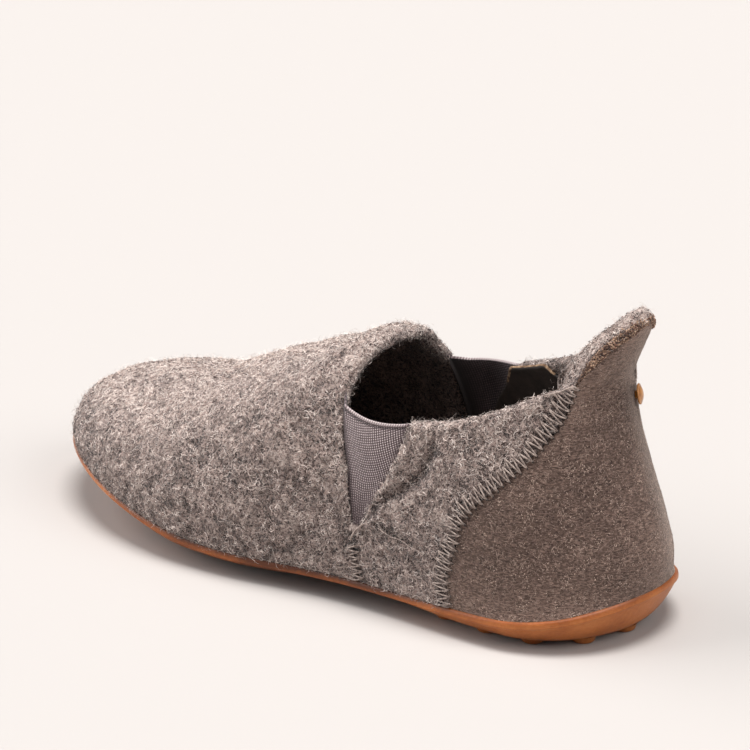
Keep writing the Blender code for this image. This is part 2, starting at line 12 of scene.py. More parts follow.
import bmesh
import bpy
import numpy as np
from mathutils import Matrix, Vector


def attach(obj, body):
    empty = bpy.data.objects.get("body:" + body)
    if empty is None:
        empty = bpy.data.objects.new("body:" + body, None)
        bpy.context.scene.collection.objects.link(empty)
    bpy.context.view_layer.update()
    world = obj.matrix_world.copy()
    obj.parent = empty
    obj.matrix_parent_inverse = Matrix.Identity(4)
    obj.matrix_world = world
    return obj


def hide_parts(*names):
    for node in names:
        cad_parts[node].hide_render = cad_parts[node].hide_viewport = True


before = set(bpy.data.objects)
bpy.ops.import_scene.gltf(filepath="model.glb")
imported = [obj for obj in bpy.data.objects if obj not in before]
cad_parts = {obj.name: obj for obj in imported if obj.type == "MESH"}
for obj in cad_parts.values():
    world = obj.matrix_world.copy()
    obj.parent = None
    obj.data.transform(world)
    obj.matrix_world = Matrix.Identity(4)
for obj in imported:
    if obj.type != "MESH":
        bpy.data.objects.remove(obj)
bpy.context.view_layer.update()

MM = 0.001
ORIGIN = (86.6, -2.4, 0.0)
BODY = "root"
SIDES = ("lateral", "medial")
BAKE_MAP = "OFBake"
WEAVE_MAP = "weave"

# Camera, found by fitting the shoe's outline to the photograph
IMAGE_SIDE = 750
SENSOR = 36.0
FOCAL_PIXELS = 4653.0
CAMERA_DISTANCE = 1100.0
CAMERA_TURN = 36.8
CAMERA_RISE = 21.0
AIM_POINT = (85.0, 0.0, 30.0)
AIM_PIXEL = (359.0, 435.7)

# Columns: sole x, lateral y, medial y and z, top x, half width, middle y and z, lean, bulge, fullness
LAST_ROWS = (
    (0.0, 0.0, 0.0, 12.6, 1.8, 0.0, 0.0, 78.0, 12.0, -0.6, 2.0),
    (1.6, 9.0, -9.0, 12.0, 4.2, 4.6, 0.0, 75.4, 14.0, -1.9, 2.0),
    (6.0, 17.0, -16.6, 10.5, 10.2, 8.7, 0.0, 69.2, 20.0, -3.1, 2.0),
    (13.0, 23.4, -22.6, 8.7, 16.5, 12.9, 0.0, 61.3, 26.0, -2.8, 2.0),
    (23.0, 27.6, -26.4, 7.5, 23.5, 18.2, 0.0, 58.5, 30.0, -1.2, 2.0),
    (37.0, 28.2, -27.2, 7.1, 37.0, 22.2, 0.0, 52.3, 36.0, 0.4, 2.0),
    (53.0, 27.2, -27.4, 6.7, 54.0, 22.6, 0.0, 47.6, 42.0, 0.8, 2.0),
    (67.0, 26.9, -28.1, 6.6, 73.4, 21.4, 0.0, 46.4, 50.0, 0.9, 2.0),
    (75.5, 27.3, -29.2, 6.5, 74.7, 19.2, 0.0, 49.8, 58.0, 1.0, 2.05),
    (82.0, 28.1, -30.4, 6.5, 74.4, 14.8, 0.0, 54.2, 70.0, 1.1, 2.1),
    (87.5, 29.0, -31.7, 6.5, 73.6, 8.2, 0.0, 58.0, 80.0, 1.2, 2.1),
    (93.0, 29.9, -33.0, 6.5, 72.8, 0.0, 0.0, 59.8, 90.0, 1.2, 2.1),
    (100.0, 30.9, -34.4, 6.5, 86.0, 0.0, -1.0, 54.5, 90.0, 1.2, 2.1),
    (109.0, 31.4, -35.5, 6.9, 100.0, 0.0, -2.5, 48.4, 90.0, 1.2, 2.1),
    (119.0, 31.2, -36.2, 8.0, 113.0, 0.0, -4.0, 43.0, 90.0, 1.2, 2.1),
    (130.5, 29.2, -36.0, 9.6, 125.0, 0.0, -5.0, 38.4, 90.0, 1.0, 2.1),
    (142.5, 25.4, -34.8, 11.6, 134.0, 0.0, -6.0, 35.4, 90.0, 0.8, 2.1),
    (153.5, 19.6, -32.0, 13.5, 139.0, 0.0, -6.6, 34.0, 86.0, 0.6, 2.0),
    (163.3, 11.6, -26.6, 15.1, 142.0, 0.0, -7.2, 33.2, 79.0, 0.4, 1.88),
    (170.8, 1.0, -18.0, 16.3, 143.6, 0.0, -7.7, 32.7, 73.0, 0.3, 1.82),
    (173.4, -8.6, -8.6, 16.7, 144.2, 0.0, -8.0, 32.5, 71.0, 0.2, 1.82),
)
GORE_ROW = 7
THROAT_ROW = 11
TOE_ROW = len(LAST_ROWS) - 1
HEEL_SPREAD = 7.0

# Back of the heel seen from the side. Columns: z, how far forward it lies
HEEL_CURVE = (
    (12.6, -0.2), (18.0, -1.3), (26.0, -0.1), (36.0, 3.2), (46.0, 6.9),
    (54.0, 9.2), (60.0, 10.1), (64.0, 8.8), (71.0, 5.6), (78.0, 1.8),
)

# How much higher the collar stands on the inner side. Columns: rows from the heel back, rise
COLLAR_RISE = (
    (2.6, 0.0), (3.5, 2.6), (4.5, 3.1), (5.5, 2.5), (6.0, 1.7),
    (6.8, 0.4), (7.3, 1.7), (8.0, 1.8), (9.0, 1.0), (10.5, 0.0),
)
COLLAR_RISE_START = 0.55


def last_loop():
    """The stations as one closed loop: along the lateral side to the toe and back along the medial side."""
    x, lateral, medial, z, top_x, half, middle, top_z, *form = np.array(LAST_ROWS).T
    out = np.stack([x, lateral, z, top_x, middle + half, top_z, *form], -1)
    back = np.stack([x, medial, z, top_x, middle - half, top_z, *form], -1)
    return np.concatenate([out, back[-2:0:-1]])


LOOP = last_loop()
LOOP_COUNT = len(LOOP)
TOPLINE = slice(3, 7)


def loop_slopes():
    """Slopes into and out of each station, with a corner in the topline at the gores and the throat."""
    before = LOOP - np.roll(LOOP, 1, axis=0)
    after = np.roll(LOOP, -1, axis=0) - LOOP
    into = (before + after) / 2
    out = into.copy()
    for row in (GORE_ROW, THROAT_ROW, LOOP_COUNT - THROAT_ROW, LOOP_COUNT - GORE_ROW):
        into[row, TOPLINE] = before[row, TOPLINE]
        out[row, TOPLINE] = after[row, TOPLINE]
    return into, out


SLOPE_IN, SLOPE_OUT = loop_slopes()


def hermite(t, start, start_slope, end, end_slope):
    """Cubic between two values with the slopes given at its ends."""
    return (
        (2 * t**3 - 3 * t**2 + 1) * start + (t**3 - 2 * t**2 + t) * start_slope
        + (3 * t**2 - 2 * t**3) * end + (t**3 - t**2) * end_slope
    )


def last_row(u):
    """Smooth station at u rows round from the heel back."""
    low = np.floor(u).astype(int)
    a = low % LOOP_COUNT
    b = (low + 1) % LOOP_COUNT
    return hermite((u - low)[..., None], LOOP[a], SLOPE_OUT[a], LOOP[b], SLOPE_IN[b])


def table_curve(rows, at, column=1):
    """Smooth curve through one column of a table, carried on straight past its ends."""
    table = np.array(rows)
    keys = table[:, 0]
    values = table[:, column]
    slope = np.gradient(values, keys)
    k = np.clip(np.searchsorted(keys, at, side="right") - 1, 0, len(keys) - 2)
    step = keys[k + 1] - keys[k]
    t = (at - keys[k]) / step
    value = hermite(np.clip(t, 0.0, 1.0), values[k], step * slope[k], values[k + 1], step * slope[k + 1])
    return value + step * (np.minimum(t, 0.0) * slope[k] + np.maximum(t - 1.0, 0.0) * slope[k + 1])


def table_line(rows, at, column=1):
    """Straight lines through one column of a table."""
    table = np.array(rows)
    return np.interp(at, table[:, 0], table[:, column])


def unit(vectors):
    return vectors / np.maximum(np.linalg.norm(vectors, axis=-1, keepdims=True), 1e-12)


def eased(t):
    """From nothing to one with a soft start and end."""
    t = np.clip(t, 0.0, 1.0)
    return t * t * (3.0 - 2.0 * t)


def bell(distance, width):
    """One in the middle, falling away softly over a width."""
    return np.exp(-(distance / width) ** 2)


def rounding(distance, radius):
    """One at an edge, falling along a quarter circle to nothing a radius away."""
    t = 1.0 - np.clip(distance / radius, 0.0, 1.0)
    return 1.0 - np.sqrt(1.0 - t * t)


def plan_normal(u):
    """Outward direction in plan at the feather line."""
    step = 0.02
    along = unit((last_row(u + step) - last_row(u - step))[..., :2])
    return np.stack([-along[..., 1], along[..., 0]], -1)


def on_side(u, side):
    """Rows counted along the outer side, taken to the side that is asked for."""
    return LOOP_COUNT - u if side == "medial" else u


def rows_from_heel(u):
    """Rows to the heel back the shorter way round."""
    return np.minimum(u % LOOP_COUNT, LOOP_COUNT - u % LOOP_COUNT)


def heel_weight(u):
    """One at the heel back, falling to nothing along the quarters."""
    return eased(1.0 - rows_from_heel(u) / HEEL_SPREAD)


def column_point(u, turn):
    """Point on the outer surface at a share of the column's turn from the feather line to the topline."""
    sole_x, sole_y, sole_z, top_x, top_y, top_z, lean, bulge, full = np.moveaxis(last_row(u), -1, 0)
    end = np.radians(np.clip(lean, 5.0, 90.0))
    power = 2.0 / full
    inward = (1.0 - np.cos(turn * end) ** power) / (1.0 - np.clip(np.cos(end), 0.0, 1.0) ** power)
    rise = np.sin(turn * end) ** power / np.sin(end) ** power
    x = sole_x + (top_x - sole_x) * inward
    y = sole_y + (top_y - sole_y) * inward
    z = sole_z + (top_z - sole_z) * rise
    x = x + heel_weight(u) * (table_curve(HEEL_CURVE, z) - inward * table_curve(HEEL_CURVE, top_z))
    swell = bulge * np.sin(np.pi * np.clip(rise, 0.0, 1.0) ** 0.7)
    out = plan_normal(u)
    return np.stack([x + out[..., 0] * swell, y + out[..., 1] * swell, z], -1)


def surface(u, v):
    """Outer surface at rows u round and share v of the wall's length."""
    turns = np.linspace(0.0, 1.0, 41)
    rows, back = np.unique(u.ravel(), return_inverse=True)
    columns = column_point(rows[:, None] + 0.0 * turns, turns + 0.0 * rows[:, None])
    steps = np.linalg.norm(np.diff(columns, axis=1), axis=2)
    share = np.concatenate([np.zeros((len(rows), 1)), np.cumsum(steps, axis=1)], axis=1)
    share = share / share[:, -1:]
    shares = np.clip(v.ravel(), 0.0, 1.0)
    turn = np.empty_like(shares)
    order = np.argsort(back, kind="stable")
    ends = np.searchsorted(back[order], np.arange(len(rows) + 1))
    for k in range(len(rows)):
        mine = order[ends[k]:ends[k + 1]]
        turn[mine] = np.interp(shares[mine], share[k], turns)
    return column_point(u.ravel(), turn).reshape(u.shape + (3,))


def surface_normal(u, v):
    """Outward normal of the outer surface, taken below the topline where it would turn its corners."""
    step_u = 0.3
    step_v = 0.02
    middle = np.clip(v, step_v, 0.95)
    along = surface(u + step_u, middle) - surface(u - step_u, middle)
    up = surface(u, middle + step_v) - surface(u, middle - step_v)
    return unit(np.cross(up, along))


def throat_weight(u, v):
    """Near one along the throat's edge, where the wall's thickness lies square to the edge."""
    near = rows_from_heel(u)
    from_gore = np.clip(2.0 * (near - GORE_ROW) + 2.0, 0.0, 1.0)
    to_vamp = np.clip(THROAT_ROW + 1.5 - near, 0.0, 1.0)
    return 0.9 * from_gore * to_vamp * np.clip((v - 0.7) / 0.2, 0.0, 1.0)


def ridge_normal(u, v):
    """Normal that is shared by the two sides where they meet along the ridge of the vamp."""
    mine = surface_normal(u, v)
    other = surface_normal(LOOP_COUNT - u, v)
    on_ridge = (rows_from_heel(u) >= THROAT_ROW) & (v >= 1.0)
    normal = np.where(on_ridge[..., None], mine + other, mine)
    normal[..., 0] *= 1.0 - throat_weight(u, v)
    return unit(normal)


# The surface is read from a fine net of it
NET_ROW_STEPS = 24
NET_SHARES = 100


def surface_net():
    u = np.arange(LOOP_COUNT * NET_ROW_STEPS + 1) / NET_ROW_STEPS
    u, v = np.meshgrid(u, np.linspace(0.0, 1.0, NET_SHARES + 1), indexing="ij")
    points = surface(u, v)
    up_wall = eased((v - COLLAR_RISE_START) / (1.0 - COLLAR_RISE_START))
    points[..., 2] += table_line(COLLAR_RISE, LOOP_COUNT - u) * up_wall
    return points, ridge_normal(u, v)


NET_POINTS, NET_NORMALS = surface_net()
NET_LENGTHS = np.linalg.norm(np.diff(NET_POINTS, axis=1), axis=-1).sum(1)


def read_net(net, u, v):
    """Value of the net between its points."""
    u, v = np.broadcast_arrays(np.asarray(u, float), np.asarray(v, float))
    across = (u % LOOP_COUNT) * NET_ROW_STEPS
    up = np.clip(v, 0.0, 1.0) * NET_SHARES
    i = np.floor(across).astype(int)
    j = np.minimum(np.floor(up).astype(int), NET_SHARES - 1)
    s = (across - i)[..., None]
    t = (up - j)[..., None]
    low = net[i, j] * (1.0 - s) + net[i + 1, j] * s
    high = net[i, j + 1] * (1.0 - s) + net[i + 1, j + 1] * s
    return low * (1.0 - t) + high * t


def on_last(u, v):
    return read_net(NET_POINTS, u, v)


def out_of_last(u, v):
    return unit(read_net(NET_NORMALS, u, v))


def sunk(u, v, depth):
    """Point at a depth below the outer surface."""
    return on_last(u, v) - out_of_last(u, v) * np.asarray(depth, float)[..., None]


def wall_length(u):
    """Length of the wall from the feather line to the topline."""
    return np.interp((u % LOOP_COUNT) * NET_ROW_STEPS, np.arange(len(NET_LENGTHS)), NET_LENGTHS)


def step_on_last(u, v, move):
    """Rows and shares reached by a short move in millimetres along the surface."""
    small_u = 0.05
    small_v = 0.01
    low = np.clip(v, small_v, 1.0 - small_v)
    by_u = (on_last(u + small_u, low) - on_last(u - small_u, low)) / (2.0 * small_u)
    by_v = (on_last(u, low + small_v) - on_last(u, low - small_v)) / (2.0 * small_v)
    pairs = ((by_u, by_u), (by_u, by_v), (by_v, by_v), (by_u, move), (by_v, move))
    uu, uv, vv, mu, mv = ((a * b).sum(-1) for a, b in pairs)
    size = uu * vv - uv * uv
    return u + (mu * vv - mv * uv) / size, v + (mv * uu - mu * uv) / size


# Whole numbers that scramble a cell's place
SCRAMBLE_STEPS = (374761393, 668265263, 2147483647)
SCRAMBLE = 1274126177


def lattice(cell, seed):
    """Repeatable value from 0 to 1 for each cell of a grid of whole numbers."""
    mixed = (cell * SCRAMBLE_STEPS).sum(-1) + seed * SCRAMBLE
    mixed = (mixed ^ (mixed >> 13)) * SCRAMBLE
    mixed = mixed ^ (mixed >> 16)
    return (mixed & 0xFFFF) / 65535.0


def lumps(points, size, seed):
    """Smooth noise from -1 to 1 with lumps of about the size given."""
    at = points / size + 31.7 * seed
    cell = np.floor(at).astype(np.int64)
    t = eased(at - cell)
    total = np.zeros(points.shape[:-1])
    for corner in itertools.product((0, 1), repeat=3):
        total += np.prod(np.where(corner, t, 1.0 - t), axis=-1) * lattice(cell + corner, seed)
    return 2.0 * total - 1.0


def nearest(points, marks):
    """Distance from each point to the nearest mark, and nothing where it is one."""
    flat = points.reshape(-1, 3)
    found = np.empty(len(flat))
    batch = 4000
    for start in range(0, len(flat), batch):
        part = flat[start:start + batch]
        gap = (part**2).sum(1)[:, None] + (marks**2).sum(1) - 2.0 * part @ marks.T
        found[start:start + batch] = np.sqrt(np.maximum(gap.min(1), 0.0))
    found[found < 0.01] = 0.0
    return found.reshape(points.shape[:-1])


# Meshes and pieces

def placed(points):
    """Millimetres from the heel to metres in the part's frame."""
    return (np.asarray(points) - ORIGIN) * MM


def net_faces(wide, tall, closed=False):
    """Corners of the faces of a net of points kept column by column, facing out as the columns go round."""
    left = np.arange(wide if closed else wide - 1)
    a = left[:, None] * tall + np.arange(tall - 1)
    b = ((left + 1) % wide)[:, None] * tall + np.arange(tall - 1)
    return np.stack([a, a + 1, b + 1, b], -1).reshape(-1, 4)


def border_ring(wide, tall):
    """Numbers of a net's points up its first column, along the top and down its last column."""
    along_top = np.arange(1, wide) * tall + tall - 1
    down_last = (wide - 1) * tall + np.arange(tall - 1)[::-1]
    return np.concatenate([np.arange(tall), along_top, down_last])


def ring_round(side, up, sides):
    """Directions all round, from one to the side by way of one up."""
    angle = np.arange(sides) * 2.0 * math.pi / sides
    return side[..., None, :] * np.cos(angle)[:, None] + up[..., None, :] * np.sin(angle)[:, None]


def join(parts):
    """Several sets of points and faces as one."""
    first = np.cumsum([0] + [len(points) for points, faces in parts])
    every = [faces + start for (points, faces), start in zip(parts, first)]
    return np.concatenate([points for points, faces in parts]), np.concatenate(every)


def make_mesh(name, points, faces, maps=None, values=None):
    """Mesh from arrays of points and of faces with equal numbers of corners."""
    mesh = bpy.data.meshes.new(name)
    mesh.vertices.add(len(points))
    mesh.vertices.foreach_set("co", placed(points).astype(np.float32).ravel())
    mesh.loops.add(faces.size)
    mesh.loops.foreach_set("vertex_index", faces.astype(np.int32).ravel())
    mesh.polygons.add(len(faces))
    mesh.polygons.foreach_set("loop_start", np.arange(0, faces.size, faces.shape[1], dtype=np.int32))
    mesh.update(calc_edges=True)
    mesh.polygons.foreach_set("use_smooth", np.ones(len(faces), bool))
    for title, places in (maps or {}).items():
        layer = mesh.uv_layers.new(name=title)
        layer.data.foreach_set("uv", places[faces.ravel()].astype(np.float32).ravel())
    for title, numbers in (values or {}).items():
        attribute = mesh.attributes.new(title, "FLOAT", "POINT")
        attribute.data.foreach_set("value", numbers.astype(np.float32))
    return mesh


def weld(mesh):
    """Joins points that lie together."""
    work = bmesh.new()
    work.from_mesh(mesh)
    bmesh.ops.remove_doubles(work, verts=work.verts, dist=1e-6)
    work.to_mesh(mesh)
    work.free()


def make_piece(mesh, material, replaced=()):
    """Object that rides on the shoe with its material, in place of the CAD parts it hides."""
    piece = bpy.data.objects.new(mesh.name, mesh)
    bpy.context.scene.collection.objects.link(piece)
    mesh.materials.append(material)
    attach(piece, BODY)
    if replaced:
        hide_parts(*replaced)
    return piece


# Nodes

def linear(red, green, blue):
    """Colour from sRGB numbers up to 255."""
    shares = np.array((red, green, blue)) / 255.0
    return (*np.where(shares <= 0.04045, shares / 12.92, ((shares + 0.055) / 1.055) ** 2.4), 1.0)


def plain(red, green, blue):
    """Colour from numbers that are linear already."""
    return (red, green, blue, 1.0)


def new_material(name, roughness, **sockets):
    """Principled material with even values set on its own sockets."""
    material = bpy.data.materials.new(name)
    material.use_nodes = True
    shader = material.node_tree.nodes["Principled BSDF"]
    shader.inputs["Roughness"].default_value = roughness
    for title, value in sockets.items():
        shader.inputs[title.replace("_", " ")].default_value = value
    return material


def add_node(material, kind, inputs=None, **settings):
    """Node with its settings, and with inputs that are linked to another node or set to a value."""
    tree = material.node_tree
    node = tree.nodes.new("ShaderNode" + kind)
    for title, value in settings.items():
        setattr(node, title, value)
    for title, value in (inputs or {}).items():
        if isinstance(value, bpy.types.NodeSocket):
            tree.links.new(value, node.inputs[title])
        else:
            node.inputs[title].default_value = value
    return node


def add_noise(material, size, detail=3.0, shift=0.0, swirl=0.0, flat=1.0):
    """Noise with lumps of about a size, fixed to the shoe, and flattened where asked."""
    place = add_node(material, "TexCoord").outputs["Object"]
    mapping = add_node(material, "Mapping", {
        "Vector": place, "Location": (shift, 2.0 * shift, 3.0 * shift), "Scale": (1.0, 1.0, flat),
    })
    place = mapping.outputs["Vector"]
    return add_node(material, "TexNoise", {
        "Vector": place, "Scale": 1.0 / (size * MM), "Detail": detail, "Distortion": swirl,
    }).outputs["Fac"]


def add_ramp(material, factor, stops, colour=linear):
    """Colours along a factor."""
    ramp = add_node(material, "ValToRGB", {"Fac": factor})
    elements = ramp.color_ramp.elements
    while len(elements) < len(stops):
        elements.new(0.5)
    for element, (position, tone) in zip(elements, stops):
        element.position = position
        element.color = colour(*tone)
    return ramp.outputs["Color"]


def add_value(material, title):
    """A number kept at each point of the mesh."""
    return add_node(material, "Attribute", attribute_name=title).outputs["Fac"]


def add_math(material, operation, *values, clamp=False):
    """Sum, product or other of factors, any of which may be a number."""
    inputs = dict(enumerate(values))
    return add_node(material, "Math", inputs, operation=operation, use_clamp=clamp).outputs["Value"]


def add_share(material, factor, share, rest, clamp=False):
    """A share of one factor on top of the rest."""
    return add_math(material, "MULTIPLY_ADD", factor, share, rest, clamp=clamp)


def add_distance(material, factor, middle):
    """How far a factor lies from a middle value."""
    return add_math(material, "ABSOLUTE", add_math(material, "SUBTRACT", factor, middle))


def add_curls(material, size, shift, thin):
    """Thin curly lines where a swirled noise passes its middle value."""
    noise = add_noise(material, size, 1.5, shift, 0.9)
    return add_share(material, add_distance(material, noise, 0.5), -thin, 1.0, True)


def add_wave(material, factor, pitch):
    """Even wave from 0 to 1 along a factor."""
    wave = add_math(material, "COSINE", add_math(material, "MULTIPLY", factor, 2.0 * math.pi / pitch))
    return add_share(material, wave, 0.5, 0.5)


def set_colour(material, factor, *stops):
    """Base colour that runs along a factor."""
    tree = material.node_tree
    tree.links.new(add_ramp(material, factor, stops), tree.nodes["Principled BSDF"].inputs["Base Color"])


def set_bump(material, height, depth):
    """Bump of a depth."""
    tree = material.node_tree
    bump = add_node(material, "Bump", {"Height": height, "Strength": 1.0, "Distance": depth * MM})
    tree.links.new(bump.outputs["Normal"], tree.nodes["Principled BSDF"].inputs["Normal"])


# Materials

def felt_material():
    """Heather grey boiled wool: pale curls over darker hollows, with painted shade and painted light from
    its rise and light values.
    """
    material = new_material(
        "boiled_wool_felt", 0.95, Specular_IOR_Level=0.15, Sheen_Weight=0.2, Sheen_Roughness=0.6,
    )
    long_curls = add_curls(material, 1.5, 0.013, 11.0)
    curls = add_math(material, "MAXIMUM", long_curls, add_curls(material, 1.1, 0.029, 10.0))
    specks = add_noise(material, 0.7)
    patches = add_noise(material, 4.5, 2.0)
    tone = add_share(material, curls, 0.34, add_math(material, "MULTIPLY", patches, 0.42))
    tone = add_share(material, specks, 0.30, tone)
    tone = add_share(material, add_value(material, "rise"), 0.30, tone)
    tone = add_math(material, "ADD", add_value(material, "light"), tone)
    set_colour(
        material, tone,
        (0.22, (31, 21, 18)), (0.42, (88, 69, 63)), (0.60, (147, 125, 116)), (0.85, (196, 174, 163)),
    )
    set_bump(material, add_share(material, specks, 0.8, curls), 0.35)
    return material


def fibre_material(name, dark, light, sheen=0.2):
    """Fibres or crumbs of one tone, with patches that go lighter and darker."""
    material = new_material(name, 0.75, Specular_IOR_Level=0.3, Sheen_Weight=sheen, Sheen_Roughness=0.5)
    tone = add_math(material, "ADD", add_noise(material, 2.4), add_value(material, "light"))
    set_colour(material, tone, (0.38, dark), (0.60, light))
    return material


def suede_material():
    """Dark taupe brushed suede with a fine nap."""
    material = new_material(
        "brushed_suede", 0.85, Specular_IOR_Level=0.2, Sheen_Weight=0.45, Sheen_Roughness=0.45,
        Sheen_Tint=(1.0, 0.82, 0.70, 1.0),
    )
    patches = add_noise(material, 16.0, 2.0)
    grain = add_noise(material, 0.9, swirl=0.6, flat=2.8)
    tone = add_share(material, grain, 0.8, add_math(material, "MULTIPLY", patches, 0.2))
    tone = add_math(material, "ADD", add_value(material, "light"), tone)
    set_colour(material, tone, (0.32, (46, 33, 28)), (0.50, (88, 69, 61)), (0.68, (136, 111, 99)))
    set_bump(material, grain, 0.26)
    return material


def elastic_material():
    """Mauve-grey woven elastic: pale dots of thread on dark, under a pale selvedge with dark ticks."""
    material = new_material(
        "woven_elastic", 0.7, Specular_IOR_Level=0.3, Sheen_Weight=0.2, Sheen_Roughness=0.4,
    )
    place = add_node(material, "UVMap", uv_map=WEAVE_MAP).outputs["UV"]
    parts = add_node(material, "SeparateXYZ", {"Vector": place}).outputs
    across = parts["X"]
    down = parts["Y"]
    ribs = add_wave(material, across, GORE_PITCH_ACROSS)
    picks = add_wave(material, add_share(material, across, 0.30, down), GORE_PITCH_UP)
    weave = add_share(material, add_math(material, "MULTIPLY", ribs, picks), 0.70, 0.04)
    weave = add_share(material, ribs, 0.16, weave)
    weave = add_share(material, add_noise(material, 0.9), 0.34, weave)
    slant = add_wave(material, add_share(material, down, 0.6, across), GORE_PITCH_ACROSS)
    top = add_share(material, down, -2.2, 1.0, True)
    pale = add_share(material, slant, 0.46, add_share(material, top, 0.34, 0.18))
    band = add_share(material, down, -5.0, 1.0 + 5.0 * SELVEDGE_TALL, True)
    from_tick = add_distance(material, down, SELVEDGE_TALL + 0.20)
    tick = add_math(material, "MULTIPLY", add_share(material, from_tick, -2.0, 1.0, True), slant)
    tone = add_share(material, band, add_math(material, "SUBTRACT", pale, weave), weave)
    tone = add_share(material, tick, -0.8, tone)
    # The shade value paints shade on the elastic.
    tone = add_math(material, "MULTIPLY", tone, add_value(material, "shade"))
    set_colour(
        material, tone,
        (0.0, (30, 22, 21)), (0.30, (84, 68, 68)), (0.60, (134, 116, 116)), (1.0, (204, 188, 184)),
    )
    set_bump(material, tone, 0.18)
    return material


def rubber_material():
    """Caramel gum rubber, a little clear and softly shining."""
    material = new_material(
        "gum_rubber", 0.5, Specular_IOR_Level=0.3, Coat_Weight=0.05, Coat_Roughness=0.35,
        Subsurface_Weight=0.15, Subsurface_Scale=0.0015, Subsurface_Radius=(1.0, 0.35, 0.1),
    )
    tone = add_share(material, add_noise(material, 0.9), 0.3, add_noise(material, 16.0, 2.0))
    # The shade value paints shade and light on the rubber.
    tone = add_math(material, "ADD", add_value(material, "shade"), tone)
    set_colour(
        material, tone,
        (0.15, (86, 42, 18)), (0.45, (140, 75, 32)), (0.65, (168, 97, 47)), (0.90, (188, 118, 64)),
    )
    set_bump(material, add_noise(material, 0.5), 0.05)
    return material


def footbed_material():
    """Taupe wool felt on the footbed."""
    material = new_material("footbed_felt", 0.95, Specular_IOR_Level=0.15, Sheen_Weight=0.15)
    tone = add_share(material, add_noise(material, 0.9, 4.0), 0.7, add_noise(material, 6.0, 2.0))
    set_colour(material, tone, (0.55, (74, 62, 56)), (1.0, (150, 134, 124)))
    set_bump(material, add_noise(material, 0.8, 5.0), 0.5)
    return material


def raw_edge_material():
    """Cut edge of the suede, tan and brown."""
    material = new_material("suede_cut_edge", 0.9, Specular_IOR_Level=0.2)
    tone = add_noise(material, 0.9)
    set_colour(material, tone, (0.35, (78, 56, 42)), (0.5, (118, 92, 72)), (0.68, (170, 142, 114)))
    set_bump(material, add_noise(material, 0.6), 0.3)
    return material


def thread_material():
    """Spun thread, ribbed by its twist."""
    material = new_material(
        "greige_thread", 0.6, Specular_IOR_Level=0.35, Sheen_Weight=0.2, Sheen_Roughness=0.4,
    )
    set_colour(material, add_noise(material, 0.8, 2.0), (0.35, (110, 93, 85)), (0.65, (174, 155, 144)))
    set_bump(material, add_noise(material, 0.18, 2.0), 0.08)
    return material


def lining_material():
    """Dark smooth leather inside the heel."""
    material = new_material("heel_lining_leather", 0.6, Specular_IOR_Level=0.35)
    set_colour(material, add_noise(material, 3.0, 4.0), (0.3, (44, 36, 32)), (0.7, (66, 54, 48)))
    set_bump(material, add_noise(material, 0.6, 4.0), 0.12)
    return material


def button_material():
    """Tan lacquered button."""
    material = new_material("tan_button", 0.35, Coat_Weight=0.3, Coat_Roughness=0.15)
    set_colour(material, add_noise(material, 1.6), (0.3, (140, 82, 32)), (0.7, (192, 128, 60)))
    set_bump(material, add_noise(material, 0.7), 0.06)
    return material


# Felt: its wall, and what it gains or loses at the rim, the tab and the notch
FELT_WALL = 3.2
HEEL_WALL = 4.1
FELT_UNDER_COUNTER = 1.5
FELT_TUCK = 0.6
RIM_SWELL = 0.6
RIM_SWELL_RUN = 3.5
RIM_RADIUS = 2.0
TAB_RADIUS_MORE = 1.2
NOTCH_RADIUS = 1.3
TAB_ROWS = 3.0
TAB_START = 0.70
TAB_SWELL = 4.0
TAB_SIDE_SWELL = 1.8
TAB_SIDE_HEAVE = 0.9
TAB_LEAN = 0.30
TIP_DROP = 1.2
TIP_ROUND = 2.4
TIP_ROUND_RUN = 8.0
TIP_ROWS = 0.9
CORNER_DROP = 1.3
CORNER_RUN = 1.3
HEM_RIDGE = 0.6
HEM_INSET = 2.6
HEM_RUN = 2.2
TACK_DIP = 0.3
TACK_RUN = 1.6
NOTCH_WIDER = 0.06
NOTCH_WIDER_TOP = {"lateral": 0.45, "medial": 0.0}
NOTCH_SKIVE = 0.55
SKIVE_RUN = 3.5
SKIVE_CLEAR = 4.0
# Painted light on felt that faces up and on the tab's wool roll, and painted shade in the felt's creases;
# the quarters are a little paler.
PAINTED_TOP_HIGHLIGHT = 0.13
QUARTER_PALER = 0.02
PAINTED_TAB_LIGHT = 0.10
PAINTED_CREASE_SHADE = 0.05

# Lumps of the felt. Columns: height, size, seed
FELT_LUMPS = ((0.20, 6.5, 1), (0.24, 3.1, 2), (0.17, 1.5, 3))

# Front edge of the heel counter. Columns: share up the wall, rows round from the heel back
SEAM_ROWS = (
    (0.0, 5.08), (0.16, 5.15), (0.33, 5.04), (0.53, 4.80), (0.63, 4.32),
    (0.72, 3.76), (0.79, 3.38), (0.86, 2.98), (0.92, 2.64), (1.0, 2.62),
)

# Upper edge of the counter, as cut and as worn. Columns: rows round, how far below the felt's rim
TAB_EDGE_ROWS = ((0.0, 1.0), (0.7, 2.0), (1.6, 2.1), (2.7, 2.8))
TAB_EDGE_WORN = ((0.0, 0.0), (0.5, 0.5), (1.0, 1.4), (2.0, 1.8), (2.7, 1.0))
TAB_TIP_CUT = 1.0
TAB_TIP_CUT_ROWS = 0.7

# Gore edges, from the point up. Columns: share up the wall, row of the rear edge, row of the front edge
GORE_ROWS = (
    (0.34, 6.80, 6.92), (0.48, 6.58, 6.98), (0.71, 6.24, 7.03), (0.87, 6.08, 7.06), (1.0, 5.98, 7.1),
)
GORE_APEX = GORE_ROWS[0][0]

# Columns of the felt's net follow the counter's edge and the gore's edges. Stretches: start, end, steps
STRETCHES = ((0, 4, 36), (4, 6, 76), (6, 7, 6), (7, 9, 46), (9, 20, 165))
SEAM_COLUMN = 4
REAR_COLUMN = 6
FRONT_COLUMN = 7
EVEN_COLUMN = 9
LOW_STEPS = 28
HIGH_STEPS = 50
RIM_START = 0.967
RIM_SHARES = (0.976, 0.984, 0.990, 0.995, 0.9985, 1.0)

